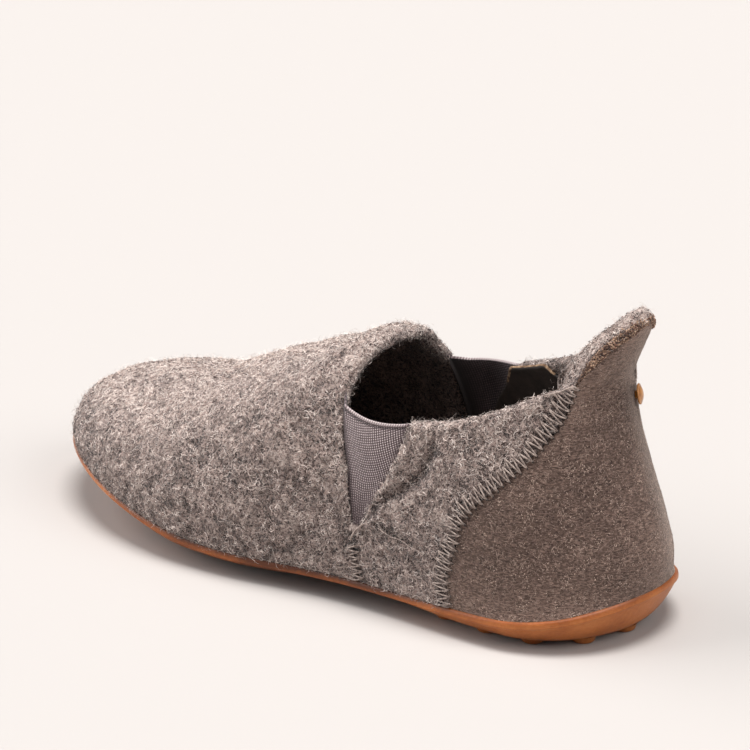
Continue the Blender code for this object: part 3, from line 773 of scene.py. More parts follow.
# Soft troughs pressed into the felt. Columns: from row and share, to row and share, width, depth
PINCHES = (
    (5.56, 0.86, 5.70, 0.70, 1.5, 1.3),
    (5.70, 0.70, 6.28, 0.54, 1.5, 1.4),
    (6.28, 0.54, 6.62, 0.40, 1.3, 0.9),
    (6.44, 0.385, 5.54, 0.295, 0.9, 0.7),
)
VAMP_FOLDS = (
    (15.0, 1.00, 14.2, 0.84, 5.0, 0.9),
    (24.5, 1.00, 24.1, 0.70, 9.0, 1.8),
    (13.0, 1.00, 12.2, 0.84, 5.0, 0.7),
    (28.1, 1.00, 27.9, 0.74, 5.0, 0.8),
    (29.6, 1.00, 28.9, 0.84, 5.0, 1.0),
)


def tab_edge(u):
    """Share of the wall that the counter's upper edge lies below the rim."""
    rows = rows_from_heel(u)
    below = table_curve(TAB_EDGE_ROWS, rows) + table_line(TAB_EDGE_WORN, rows)
    return (below + TAB_TIP_CUT * bell(rows, TAB_TIP_CUT_ROWS)) / wall_length(u)


def tip_inset(u, v):
    """How far the tab is drawn in towards the foot round its tip."""
    below_rim = (1.0 - v) * wall_length(u)
    return TIP_ROUND * rounding(below_rim, TIP_ROUND_RUN) * bell(rows_from_heel(u), TIP_ROWS)


def notch_rear(v):
    """Rows round to the felt's edge behind the gore."""
    return table_curve(GORE_ROWS, np.clip(v, GORE_APEX, 1.0), 1)


def notch_front(v, side):
    """Rows round to the felt's edge in front of the gore."""
    wider = NOTCH_WIDER + NOTCH_WIDER_TOP[side] * eased((v - 0.6) / 0.4)
    return table_curve(GORE_ROWS, np.clip(v, GORE_APEX, 1.0), 2) + wider


def rows_at(q, v, side):
    """Rows round at column q."""
    marks = np.array((0, SEAM_COLUMN, REAR_COLUMN, FRONT_COLUMN, EVEN_COLUMN, TOE_ROW), float)
    edges = (0.0, table_curve(SEAM_ROWS, v), notch_rear(v), notch_front(v, side), EVEN_COLUMN, TOE_ROW)
    knots = np.stack([edge + 0.0 * v for edge in edges])
    k = np.clip(np.searchsorted(marks, q, side="right") - 1, 0, len(marks) - 2)
    t = ((q - marks[k]) / (marks[k + 1] - marks[k]))[:, None]
    return knots[k] * (1.0 - t) + knots[k + 1] * t


def press(points, troughs):
    """Depth of hand-placed troughs at each point."""
    run = np.linspace(0.0, 1.0, 25)
    pressed = np.zeros(points.shape[:-1])
    for row, share, to_row, to_share, width, depth in troughs:
        line = on_last(row + (to_row - row) * run, share + (to_share - share) * run)
        pressed = np.maximum(pressed, depth * bell(nearest(points, line), width))
    return pressed


def felt_net():
    """Columns q, rows u and shares v of the felt, with points, distances to edges and weights of parts."""
    stretches = [np.linspace(*stretch, endpoint=False) for stretch in STRETCHES]
    half = np.concatenate([*stretches, [float(TOE_ROW)]])
    high = np.linspace(GORE_APEX, RIM_START, HIGH_STEPS)[1:]
    shares = np.concatenate([np.linspace(0.0, GORE_APEX, LOW_STEPS), high, RIM_SHARES])
    q = np.concatenate([half, half[-2:0:-1]])
    lateral, medial = (on_side(rows_at(half, shares, side), side) for side in SIDES)
    u = np.concatenate([lateral, medial[-2:0:-1]])
    v = np.broadcast_to(shares, u.shape)
    start = on_last(u, v)
    above = shares >= GORE_APEX
    between = (q >= REAR_COLUMN) & (q <= FRONT_COLUMN)
    sides = (q == REAR_COLUMN) | (q == FRONT_COLUMN)
    rim = start[(q <= THROAT_ROW) & (sides | ~between), -1]
    notch = np.concatenate([start[sides][:, above].reshape(-1, 3), start[between][:, np.argmax(above)]])
    seam = start[q == SEAM_COLUMN]
    tacks = np.concatenate([on_last(*tack_line(side)) for side in SIDES])
    net = SimpleNamespace(
        q=q[:, None], u=u, v=v, rows=rows_from_heel(u), start=start, out=out_of_last(u, v),
        above=above, between=between, behind=(q < SEAM_COLUMN)[:, None],
        to_rim=nearest(start, rim), to_notch=nearest(start, notch),
        to_seam=nearest(start, seam.reshape(-1, 3)), to_corner=nearest(start, seam[:, -1]),
        by_tack=bell(nearest(start, tacks), TACK_RUN),
        over_edge=(v - 1.0 + tab_edge(u)) * wall_length(u),
    )
    net.covered = np.where(net.behind, 1.0 - eased(net.over_edge / 0.8 + 0.75), 0.0)
    net.tab = eased((TAB_ROWS - net.rows) / 0.6) * eased((v - TAB_START) / 0.2)
    net.before_gore = (net.q > FRONT_COLUMN - 0.5) & (v > GORE_APEX)
    mirrored = [(LOOP_COUNT - row, share, LOOP_COUNT - to, *rest) for row, share, to, *rest in PINCHES]
    net.creases = press(start, [*PINCHES, *mirrored])
    fade = eased(v / 0.04) * np.where(net.behind, 1.0, eased(net.to_seam / 2.5))
    net.lumpy = fade * sum(height * lumps(start, size, seed) for height, size, seed in FELT_LUMPS)
    return net


def felt_shell(net):
    """Points of the felt's outer face and of its inner face, which meet in rounded rims."""
    base = np.where(net.behind, FELT_UNDER_COUNTER * net.covered, FELT_TUCK * rounding(net.to_seam, 1.0))
    tab_side = net.tab * eased(net.rows - 0.8)
    swell = (HEEL_WALL - FELT_WALL) * heel_weight(net.u) + RIM_SWELL * bell(net.to_rim, RIM_SWELL_RUN)
    skived = net.before_gore * bell(net.to_notch, SKIVE_RUN) * (1.0 - bell(net.to_rim, SKIVE_CLEAR))
    wall = FELT_WALL + swell * (1.0 - net.tab) + TAB_SIDE_SWELL * tab_side
    wall = wall * (1.0 - NOTCH_SKIVE * skived)
    middle = (wall - base) / 2.0
    at_rim = rounding(net.to_rim, RIM_RADIUS + TAB_RADIUS_MORE * net.tab)
    close = np.maximum(at_rim, rounding(net.to_notch, NOTCH_RADIUS))
    hem = (net.q < REAR_COLUMN) * (net.v > GORE_APEX) * bell(net.to_notch - HEM_INSET, HEM_RUN)
    pressed = np.maximum(net.creases, press(net.start, VAMP_FOLDS))
    relief = (1.0 - net.covered) * (net.lumpy + HEM_RIDGE * hem - pressed - TACK_DIP * net.by_tack)
    at_tip = bell(net.rows, TIP_ROWS) * eased((net.v - 0.9) / 0.1)
    drop = CORNER_DROP * bell(net.to_corner, CORNER_RUN) + TIP_DROP * at_tip
    heave = TAB_SIDE_HEAVE * tab_side * close - drop
    tip = tip_inset(net.u, net.v)
    outer = net.start + net.out * (relief - base - close * middle - tip)[..., None]
    outer[..., 0] += TAB_SWELL * net.tab * TAB_LEAN * close
    outer[..., 2] += heave
    inside = net.start + net.out * (relief * close - wall + close * (middle - tip))[..., None]
    inside[..., 0] += TAB_SWELL * net.tab * (1.0 - (1.0 - TAB_LEAN) * close)
    inside[..., 2] += heave
    inside[:, 0, 2] = outer[:, 0, 2]
    return outer, inside


def felt_looks(net):
    """Tone with painted shade, fibre density, paleness with painted light, and crumbs of suede on the
    felt's outer face and on its inner face.
    """
    medial = net.u > TOE_ROW
    by_rim = bell(net.to_rim, 1.8)
    rear = eased((5.6 - net.rows) / 0.6) * bell(net.to_rim, 5.0)
    quarter = eased((7.2 - net.rows) / 0.4)
    low_front = net.before_gore * (1.0 - by_rim)
    by_seam = np.where(net.behind, 0.0, 1.0 - eased((net.to_seam - 2.4) / 1.8))
    by_foot = bell(net.v * wall_length(net.u), 1.2) * (net.q > SEAM_COLUMN)
    at_notch = bell(net.to_notch, 1.2) * np.where(medial, -0.9 * low_front, 1.0)
    reach = 0.2 + 1.9 * eased((net.rows - 0.2) / 0.8)
    crumbs = net.behind * eased(net.over_edge / 0.5 + 1.0) * (1.0 - eased((net.over_edge - reach) / 1.5))
    fuzz = (1.0 - net.covered) * np.where(net.behind, 1.0, 0.30 + 0.70 * eased((net.to_seam - 1.2) / 3.4))
    fuzz = fuzz * (1.0 - 0.55 * net.by_tack) * (1.0 + at_notch + 0.7 * by_foot) * (1.0 - 0.6 * crumbs)
    # Painted shade: the felt goes darker in its hollows and creases, beside the seam, round the bar tacks
    # and in a line by the medial gore's front edge, and lighter on its lumps.
    rise = 1.5 * net.lumpy - 0.5 * net.creases - 0.25 * by_seam - 0.7 * net.by_tack
    rise = rise - 1.2 * medial * low_front * bell(net.to_notch, 0.8)
    # Painted highlight on up-facing felt and on the tab, painted shade in the creases.
    light = PAINTED_TOP_HIGHLIGHT * eased((net.out[..., 2] - 0.5) / 0.45) + QUARTER_PALER * quarter
    light = light + PAINTED_TAB_LIGHT * net.tab - PAINTED_CREASE_SHADE * net.creases
    outer = {"rise": rise, "fuzz": fuzz, "light": light, "crumbs": crumbs}
    # Painted shade inside the shoe: the inner face goes dark away from the rim, less at the tab and the
    # heel's rear, with painted light on the tab.
    inside = {
        "rise": np.minimum(0.65 * by_rim + 0.9 * net.tab + 0.7 * rear - 0.3, 0.1),
        "fuzz": np.clip(1.0 - net.to_rim * (1.0 - 0.6 * net.tab) / 3.2, 0.0, 1.0),
        "light": np.where(rear > net.tab, QUARTER_PALER * rear, PAINTED_TAB_LIGHT * net.tab),
        "crumbs": 0.0 * crumbs,
    }
    return outer, inside


def felt_faces(net, picked):
    """Faces of the outer net, of the inner net with its picked shares, and between their feet."""
    wide, tall = net.u.shape
    low = len(picked)
    count = wide * tall
    in_notch = (net.between & np.roll(net.between, -1))[:, None]
    front = net_faces(wide, tall, True).reshape(wide, tall - 1, 4)[~(in_notch & net.above[:-1])]
    back = net_faces(wide, low, True).reshape(wide, low - 1, 4)[~(in_notch & net.above[picked][:-1])]
    around = np.arange(wide)
    after = (around + 1) % wide
    foot = np.stack([around * tall, after * tall, count + after * low, count + around * low], -1)
    return np.concatenate([front, back[:, ::-1] + count, foot])


def build_felt():
    """The felt upper as one soft shell, open at the collar and in the two V notches."""
    net = felt_net()
    by_rim = net.u.shape[1] - len(RIM_SHARES)
    picked = np.unique([*range(0, by_rim, 5), np.argmax(net.above), *range(by_rim, net.u.shape[1])])

    def both(outer, inside, *size):
        return np.concatenate([outer.reshape(-1, *size), inside[:, picked].reshape(-1, *size)])

    around = (net.u % LOOP_COUNT) / LOOP_COUNT
    bake = both(np.stack([around, 0.62 * net.v], -1), np.stack([around, 0.64 + 0.36 * net.v], -1), 2)
    shown, hidden = felt_looks(net)
    values = {title: both(shown[title], hidden[title]) for title in shown}
    points = both(*felt_shell(net), 3)
    mesh = make_mesh("felt_upper", points, felt_faces(net, picked), {BAKE_MAP: bake}, values)
    weld(mesh)
    return make_piece(mesh, felt_material(), ("upper",))


# Fibres
LENGTH_SPREAD = (0.5, 1.4)


def mesh_numbers(items, title, size=1, kind=np.float32):
    """Numbers kept with the points or faces of a mesh, a row for each."""
    numbers = np.empty(len(items) * size, kind)
    items.foreach_get(title, numbers)
    return numbers.reshape(-1, size)


def point_values(mesh, title):
    return mesh_numbers(mesh.attributes[title].data, "value")[:, 0]


def scatter(piece, count, random, density=None):
    """Random places on a piece's surface: points, normals, and the corners round them with their shares."""
    mesh = piece.data
    mesh.calc_loop_triangles()
    corners = mesh_numbers(mesh.loop_triangles, "vertices", 3, np.int32)
    points = mesh_numbers(mesh.vertices, "co", 3) / MM + ORIGIN
    normals = mesh_numbers(mesh.vertex_normals, "vector", 3)
    a, b, c = points[corners].transpose(1, 0, 2)
    weight = np.linalg.norm(np.cross(b - a, c - a), axis=1)
    if density:
        weight = weight * point_values(mesh, density)[corners].mean(1)
    picked = corners[random.choice(len(corners), count, p=weight / weight.sum())]
    s, t = random.random((2, count, 1))
    s, t = np.where(s + t > 1.0, 1.0 - s, s), np.where(s + t > 1.0, 1.0 - t, t)
    shares = np.concatenate([1.0 - s - t, s, t], 1)[..., None]
    return (points[picked] * shares).sum(1), unit((normals[picked] * shares).sum(1)), picked, shares[..., 0]


def fibre_paths(start, normal, random, length, steps, curl, lift, level=False):
    """Curled paths along a surface, level or any way round, that rise in the middle or at one end."""
    count = len(start)
    share = np.linspace(0.0, 1.0, steps)
    toward = np.broadcast_to((0.0, 0.0, 1.0), (count, 3)) if level else random.normal(size=(count, 3))
    side = unit(np.cross(normal, toward))
    ahead = np.cross(normal, side)
    heading = random.normal(0.0, 0.4, count) if level else random.uniform(0.0, 2.0 * math.pi, count)
    turn = curl * random.uniform(0.35, 1.5, count) * random.choice((-1.0, 1.0), count)
    wobble = np.cumsum(random.normal(0.0, 0.3, (count, steps)), 1) / math.sqrt(steps)
    angle = heading[:, None] + turn[:, None] * share + wobble
    pace = (length / (steps - 1))[:, None]
    x = np.cumsum(np.cos(angle) * pace, 1)
    y = np.cumsum(np.sin(angle) * pace, 1)
    x = (x - x.mean(1, keepdims=True))[..., None]
    y = (y - y.mean(1, keepdims=True))[..., None]
    phase = random.uniform(0.25, 1.0, count)[:, None]
    height = lift[:, None] * np.sin(math.pi * share * phase) - 0.10
    return start[:, None] + side[:, None] * x + ahead[:, None] * y + normal[:, None] * height[..., None]


def ribbon_mesh(name, paths, normal, random, width, roll, values=None):
    """Thin strips along paths, each turned at random about its own line and narrowing to its ends."""
    count, steps = paths.shape[:2]
    ahead = unit(np.gradient(paths, axis=1))
    across = unit(np.cross(ahead, normal[:, None]))
    tilt = random.uniform(-roll, roll, count)[:, None, None]
    across = across * np.cos(tilt) + np.cross(across, ahead) * np.sin(tilt)
    taper = 0.35 + 0.65 * np.sin(math.pi * np.linspace(0.04, 0.96, steps)) ** 0.6
    half = 0.5 * width[:, None, None] * taper[None, :, None]
    points = np.stack([paths - across * half, paths + across * half], 2).reshape(-1, 3)
    first = (np.arange(count)[:, None] * steps + np.arange(steps - 1)) * 2
    faces = np.stack([first, first + 1, first + 3, first + 2], -1).reshape(-1, 4)
    spread = placed(points) / 0.2 + 0.5
    return make_mesh(name, points, faces, {BAKE_MAP: spread[:, (0, 1)] + spread[:, (2, 2)] * 0.35}, values)


# Columns: name, count, steps, length, width, curl, lift, dark and light colour, seed
FIBRES = (
    ("wool_fibres_white", 9000, 6, 2.0, 0.12, 5.0, 0.60, (150, 132, 122), (236, 218, 207), 10),
    ("wool_fibres_pale", 20000, 5, 1.5, 0.13, 3.8, 0.50, (106, 87, 79), (198, 176, 165), 11),
    ("wool_fibres_mid", 20000, 5, 1.4, 0.14, 3.6, 0.46, (57, 42, 38), (155, 132, 123), 12),
    ("wool_fibres_dark", 14000, 5, 1.4, 0.15, 3.4, 0.50, (12, 7, 6), (54, 39, 35), 13),
    ("wool_fibres_halo", 15000, 4, 2.2, 0.06, 2.6, 1.60, (160, 142, 132), (226, 209, 199), 14),
)


def build_fibres(felt):
    """Loose wool fibres lying over the felt in four tones, and fine ends that stand out from it."""
    for name, count, steps, length, width, curl, lift, dark, light, seed in FIBRES:
        random = np.random.default_rng(seed)
        start, normal, corners, shares = scatter(felt, count, random, "fuzz")
        # The felt's painted light and shade in its light value go on to the fibres over it.
        paler = (point_values(felt.data, "light")[corners] * shares).sum(1)
        lengths = length * random.uniform(*LENGTH_SPREAD, count)
        lifts = lift * random.random(count) ** 2 + 0.12
        paths = fibre_paths(start, normal, random, lengths, steps, curl, lifts)
        widths = width * random.uniform(0.6, 1.25, count)
        mesh = ribbon_mesh(name, paths, normal, random, widths, 0.9, {"light": np.repeat(paler, 2 * steps)})
        make_piece(mesh, fibre_material(name, dark, light, 0.25))


# Heel counter
COUNTER_TOP = 0.25
COUNTER_THICK = 1.15
COUNTER_TOP_SHARES = (0.97, 0.98, 0.987, 0.993, 0.997, 1.0)
COUNTER_SIDE_SHARES = (0.985, 0.992, 0.997, 1.0)
TAB_EDGE_REACH = 0.3

# Columns: name, count, steps, length, width, dark and light colour, seed
NAPS = (
    ("suede_nap_fine", 10500, 4, 1.1, 0.12, (104, 83, 74), (152, 128, 115), 31),
    ("suede_nap_pale", 4800, 3, 0.45, 0.17, (126, 104, 93), (190, 164, 147), 32),
)

# Columns: name, dark and light colour, seed
CRUMBS = (
    ("cut_edge_tan", (124, 92, 72), (194, 160, 134), 51),
    ("cut_edge_brown", (64, 40, 32), (120, 84, 66), 52),
)
CRUMB_COUNT = 1500
CRUMB_SIZES = (0.12, 0.30)
CRUMB_CORNERS = ((1, 0, 0), (0, 1, 0), (0, 0, 1), (-1, 0, 0), (0, -1, 0), (0, 0, -1))
CRUMB_FACES = ((0, 1, 2), (1, 3, 2), (3, 4, 2), (4, 0, 2), (1, 0, 5), (3, 1, 5), (4, 3, 5), (0, 4, 5))


def show_cut_edge(mesh, marks):
    """Gives marked faces the look of the suede's cut edge."""
    mesh.materials.append(raw_edge_material())
    mesh.polygons.foreach_set("material_index", marks.astype(np.int32))


def build_counter():
    """Suede round the heel and up the outside of the tab, with a cut edge."""
    shares = np.concatenate([np.linspace(0.0, 0.96, 100), COUNTER_TOP_SHARES])
    ends = np.array(COUNTER_SIDE_SHARES)
    side = np.concatenate([-ends[::-1], np.linspace(-0.975, 0.975, 150), ends])[:, None]
    u = side * table_curve(SEAM_ROWS, shares)
    v = shares - tab_edge(u) * eased((shares - 1.0 + TAB_EDGE_REACH) / TAB_EDGE_REACH)
    start = on_last(u, v)
    gap = nearest(start, np.concatenate([start[0], start[-1], start[:, -1]]))
    relief = 0.10 * lumps(start, 9.0, 21) + 0.05 * lumps(start, 2.6, 22)
    depth = COUNTER_TOP + tip_inset(u, v)
    face = sunk(u, v, depth + 0.45 * rounding(gap, 0.7) - relief * eased(gap / 2.0))
    face[:, 0, 2] -= 0.1
    under = sunk(u, v, depth + COUNTER_THICK)
    wide, tall = u.shape
    ring = border_ring(wide, tall)
    points = np.concatenate([face.reshape(-1, 3), under.reshape(-1, 3)[ring]])
    lower = wide * tall + np.arange(len(ring))
    edges = np.stack([ring[:-1], ring[1:], lower[1:], lower[:-1]], -1)[:, ::-1]
    faces = np.concatenate([net_faces(wide, tall), edges])
    bake = np.concatenate([
        np.stack([0.5 + 0.5 * side + 0.0 * v, 0.95 * v], -1).reshape(-1, 2),
        np.stack([np.linspace(0.0, 1.0, len(ring)), np.ones(len(ring))], -1),
    ])
    # Painted light: the suede goes lighter towards the counter's top and a little near its foot.
    lift = 0.11 * eased((v - 0.6) / 0.3) + 0.05 * eased((0.35 - v) / 0.35) - 0.035
    light = np.concatenate([lift.ravel(), np.zeros(len(ring))])
    mesh = make_mesh("suede_counter", points, faces, {BAKE_MAP: bake}, {"light": light})
    piece = make_piece(mesh, suede_material(), ("heel_counter",))
    show_cut_edge(mesh, np.arange(len(faces)) >= len(faces) - len(edges))
    return piece


def build_nap(counter):
    """Short pale and tan flecks of nap on the suede."""
    for name, count, steps, length, width, dark, light, seed in NAPS:
        random = np.random.default_rng(seed)
        start, normal = scatter(counter, count, random)[:2]
        lengths = length * random.uniform(*LENGTH_SPREAD, count)
        lifts = random.uniform(0.10, 0.20, count)
        paths = fibre_paths(start, normal, random, lengths, steps, 1.2, lifts, True)
        mesh = ribbon_mesh(name, paths, normal, random, width * random.uniform(0.7, 1.3, count), 0.4)
        make_piece(mesh, fibre_material(name, dark, light))


def build_edge_grains(felt):
    """Tan and brown crumbs of the suede's cut edge, over the tab's rim."""
    corners = len(CRUMB_CORNERS)
    for name, dark, light, seed in CRUMBS:
        random = np.random.default_rng(seed)
        start, normal = scatter(felt, CRUMB_COUNT, random, "crumbs")[:2]
        centre = start + normal * random.uniform(0.0, 0.4, (CRUMB_COUNT, 1))
        size = random.uniform(*CRUMB_SIZES, (CRUMB_COUNT, 1, 1))
        size = size * random.uniform(0.6, 1.3, (CRUMB_COUNT, corners, 1))
        points = (centre[:, None] + np.array(CRUMB_CORNERS) * size).reshape(-1, 3)
        faces = (np.arange(CRUMB_COUNT)[:, None, None] * corners + CRUMB_FACES).reshape(-1, 3)
        make_piece(make_mesh(name, points, faces), fibre_material(name, dark, light))


# Elastic gores
GORE_TOP = 0.9
GORE_THICK = 0.8
GORE_PITCH_ACROSS = 0.60
GORE_PITCH_UP = 0.56
GORE_BROW = 0.978
GORE_FOOT = GORE_APEX - 0.015
GORE_BOW = {"lateral": 2.0, "medial": 3.0}
GORE_SAG = {"lateral": 1.1, "medial": 0.7}
GORE_FRONT_RISE = {"lateral": 2.2, "medial": 0.0}
GORE_TUCK = 0.12
GORE_TUCK_SINK = 0.9
GORE_TUCK_DROP = {"lateral": 6.0, "medial": 0.0}
# Painted shade on the elastic: darker low down, along its edges under the felt and on its back, which faces
# into the shoe.
GORE_LOW_SHADE = 0.55
GORE_EDGE_SHADE = 0.45
GORE_BACK_SHADE = 0.46
GORE_BACK_DOWN = (4.0, 30.0)
SELVEDGE_TALL = 0.55


def build_gore(side):
    """Woven elastic let into the V notch, folded over at the top and carried down behind."""
    columns = np.linspace(0.0, 1.0, 72)[:, None]
    fold = np.linspace(0.0, math.pi, 9)[1:-1]
    front_shares = np.linspace(GORE_FOOT, GORE_BROW, 80)
    back_shares = np.linspace(GORE_BROW, GORE_FOOT, 12)
    shares = np.concatenate([front_shares, np.full(len(fold), GORE_BROW), back_shares])
    shown = len(front_shares)
    behind = shown + len(fold)
    depth = np.full(len(shares), GORE_TOP)
    depth[shown:behind] += GORE_THICK / 2.0 * (1.0 - np.cos(fold))
    depth[behind:] += GORE_THICK
    over = np.zeros(len(shares))
    over[shown:behind] = GORE_THICK / 2.0 * np.sin(fold)
    rear_edge = notch_rear(shares)
    front_edge = notch_front(shares, side)
    rear = rear_edge - GORE_TUCK
    u = rear + (front_edge + GORE_TUCK - rear) * columns
    v = np.broadcast_to(shares, u.shape)
    start = on_last(u, v)

    steps = np.linalg.norm(np.diff(start[:, :shown], axis=1), axis=-1)
    down = np.zeros(u.shape)
    down[:, :shown - 1] = np.cumsum(steps[:, ::-1], 1)[:, ::-1]
    down[:, behind:] = np.linspace(*GORE_BACK_DOWN, len(back_shares))
    weave = np.stack([np.linalg.norm(start[-1:] - start, axis=-1), down], -1).reshape(-1, 2)
    pace = np.linalg.norm(np.diff(start, axis=0), axis=-1)
    run = np.concatenate([np.zeros((1, len(shares))), np.cumsum(pace, 0)])
    begin, finish = np.array([
        [np.interp(row, rows, along) for row, rows, along in zip(edge, u.T, run.T)]
        for edge in (rear_edge, front_edge)
    ])
    across = np.clip((run - begin) / (finish - begin), 0.0, 1.0)
    # Painted shade: darker towards the point, along both edges and on the back.
    low = GORE_LOW_SHADE + (1.0 - GORE_LOW_SHADE) * eased((v - GORE_APEX) / 0.30)
    inner = eased(np.minimum(across / 0.10, (1.0 - across) / 0.22))
    shade = low * (GORE_EDGE_SHADE + (1.0 - GORE_EDGE_SHADE) * inner)
    shade[:, behind:] = GORE_BACK_SHADE * eased((1.0 - across[:, behind:]) / 0.4)

    belly = np.sin(math.pi * across) * eased((v - 0.45) / 0.5)
    hidden = eased((u - front_edge + 0.02) / 0.08)
    rise = GORE_FRONT_RISE[side] * across**3 * (1.0 - hidden) * eased((v - 0.55) / 0.43)
    tuck = GORE_TUCK_DROP[side] * hidden * eased((v - 0.7) / 0.25)
    points = sunk(on_side(u, side), v, depth - GORE_BOW[side] * belly + GORE_TUCK_SINK * hidden)
    points[..., 2] += over + rise - GORE_SAG[side] * belly - tuck
    faces = net_faces(*u.shape)
    if side == "medial":
        faces = faces[:, ::-1]
    bake = np.stack([columns + 0.0 * v, np.linspace(0.0, 1.0, len(shares)) + 0.0 * u], -1).reshape(-1, 2)
    maps = {BAKE_MAP: bake, WEAVE_MAP: weave}
    mesh = make_mesh("elastic_gore_" + side, points.reshape(-1, 3), faces, maps, {"shade": shade.ravel()})
    make_piece(mesh, elastic_material(), ("gore_" + side,))


# Threads
THREAD_RADIUS = 0.19
THREAD_SIDES = 6
THREAD_LEG_STEPS = 7
SEAM_PITCH = 1.75
SEAM_ON_SUEDE = 1.1
SEAM_ON_FELT = 3.9
SEAM_LIFT = 0.45
SEAM_SHARES = (0.012, 0.955)
HOLE_RADIUS = 0.2
HOLE_SIDES = 8
HOLE_FACES = ((0, 1, 2, 3), (0, 3, 4, 7), (4, 5, 6, 7))
TACK_TOP_ROW = 6.96
TACK_TOP_SHARE = 0.219
TACK_FOOT_ROW = 6.80
TACK_PITCH = 1.6
TACK_REACH = 1.7
TACK_LIFT = 0.5

# Loose ends of thread. Columns: radius, rows and shares along it
LOOSE_THREADS = (
    (0.24, (6.94, 6.82, 6.66), (0.26, 0.31, 0.37)),
    (0.11, (6.38, 6.1, 5.98, 5.7, 5.54), (0.37, 0.335, 0.335, 0.295, 0.28)),
)


def tack_line(side):
    """Rows and shares down the middle of a bar tack."""
    v = np.linspace(TACK_TOP_SHARE, 0.01, 30)
    u = TACK_FOOT_ROW + (TACK_TOP_ROW - TACK_FOOT_ROW) * v / TACK_TOP_SHARE
    return on_side(u, side), v


def tube(path, normal, radius):
    """Round thread along one path."""
    ahead = unit(np.gradient(path, axis=0))
    across = unit(np.cross(ahead, normal))
    points = path[:, None] + radius * ring_round(across, np.cross(across, ahead), THREAD_SIDES)
    return points.transpose(1, 0, 2).reshape(-1, 3), net_faces(THREAD_SIDES, len(path), True)


def zigzag(u, v, pitch, reach_in, reach_out, lift, random):
    """Thread of a zigzag along a line of rows and shares, and the places of its tips on the inner side."""
    line = on_last(u, v)
    run = np.concatenate([[0.0], np.cumsum(np.linalg.norm(np.diff(line, axis=0), axis=1))])
    legs = int(run[-1] / (pitch / 2.0))
    inner = np.arange(legs + 1) % 2 == 1
    lean = np.where(inner, -0.13, 0.0)
    at = np.linspace(0.0, run[-1], legs + 1) + pitch * (lean + random.uniform(-0.08, 0.08, legs + 1))
    mid_u = np.interp(at, run, u)
    mid_v = np.interp(at, run, v)
    ahead = unit(np.gradient(on_last(mid_u, mid_v), axis=0))
    across = unit(np.cross(ahead, out_of_last(mid_u, mid_v)))
    reach = np.where(inner, reach_in, -reach_out) * random.uniform(0.72, 1.12, legs + 1)
    tips = np.array(step_on_last(mid_u, mid_v, across * reach[:, None]))
    share = np.arange(THREAD_LEG_STEPS) / THREAD_LEG_STEPS
    path_u, path_v = (tips[:, :-1, None] * (1.0 - share) + tips[:, 1:, None] * share).reshape(2, -1)
    rise = np.tile(lift * np.sin(math.pi * share) ** 0.5 - 0.45 * (share == 0.0), legs)
    thread = tube(sunk(path_u, path_v, -rise), out_of_last(path_u, path_v), THREAD_RADIUS)
    return thread, tips[:, inner]


def discs(u, v):
    """Small flat rounds lying on the surface."""
    normal = out_of_last(u, v)
    side = unit(np.cross(normal, (0.0, 0.0, 1.0)))
    points = on_last(u, v)[:, None] + HOLE_RADIUS * ring_round(side, np.cross(side, normal), HOLE_SIDES)
    faces = np.arange(len(u))[:, None, None] * HOLE_SIDES + HOLE_FACES
    return points.reshape(-1, 3), faces.reshape(-1, 4)


def loose_thread(side, radius, rows, shares):
    """One loose end of thread, arched off the felt."""
    run = np.linspace(0.0, 1.0, 16)
    arch = np.sin(math.pi * run)
    knots = np.linspace(0.0, 1.0, len(rows))
    u = on_side(np.interp(run, knots, rows), side)
    v = np.interp(run, knots, shares) + 0.006 * arch
    return tube(sunk(u, v, -0.45 - 0.35 * arch), out_of_last(u, v), radius)


def build_stitches():
    """Zigzag along both sides of the counter, bar tacks under the gores and loose ends of thread."""
    random = np.random.default_rng(41)
    threads = []
    holes = []
    for side in SIDES:
        turned = -1.0 if side == "medial" else 1.0
        v = np.linspace(*SEAM_SHARES, 120)
        u = on_side(table_curve(SEAM_ROWS, v), side)
        reaches = turned * SEAM_ON_SUEDE, turned * SEAM_ON_FELT
        seam, tips = zigzag(u, v, SEAM_PITCH, *reaches, SEAM_LIFT, random)
        tack = zigzag(*tack_line(side), TACK_PITCH, TACK_REACH, TACK_REACH, TACK_LIFT, random)[0]
        threads += [seam, tack] + [loose_thread(side, *row) for row in LOOSE_THREADS]
        holes.append(discs(*tips))
    make_piece(make_mesh("zigzag_stitches", *join(threads)), thread_material())
    # Flat dark discs at the zigzag's tips on the suede: real needle holes, their darkness painted shade.
    hole_shade_material = fibre_material("needle_hole_shade", (34, 27, 24), (58, 47, 42))
    make_piece(make_mesh("needle_hole_shade_discs", *join(holes)), hole_shade_material)


# Front edge of the heel lining. Columns: share up the wall, rows round
LINING_FRONT = (
    (0.10, 6.90), (0.34, 6.78), (0.50, 6.66), (0.70, 6.47), (0.80, 6.35), (0.89, 6.17), (1.0, 6.04),
)

# Top of the lining. Columns: rows round, share up the wall, rise above it
LINING_TOP = (
    (0.0, 0.72, 0.0), (3.6, 0.80, 0.0), (4.6, 0.87, 0.0), (5.25, 0.905, 0.0),
    (5.40, 0.955, 0.0), (5.50, 1.0, 0.3), (6.1, 1.0, 0.8),
)
LINING_TUCK = 0.9
LINING_BARE_EDGE = 5.36
LINING_SHOWN_SHARE = 0.93
LINING_GAP = 0.15
LINING_THICK = 0.9


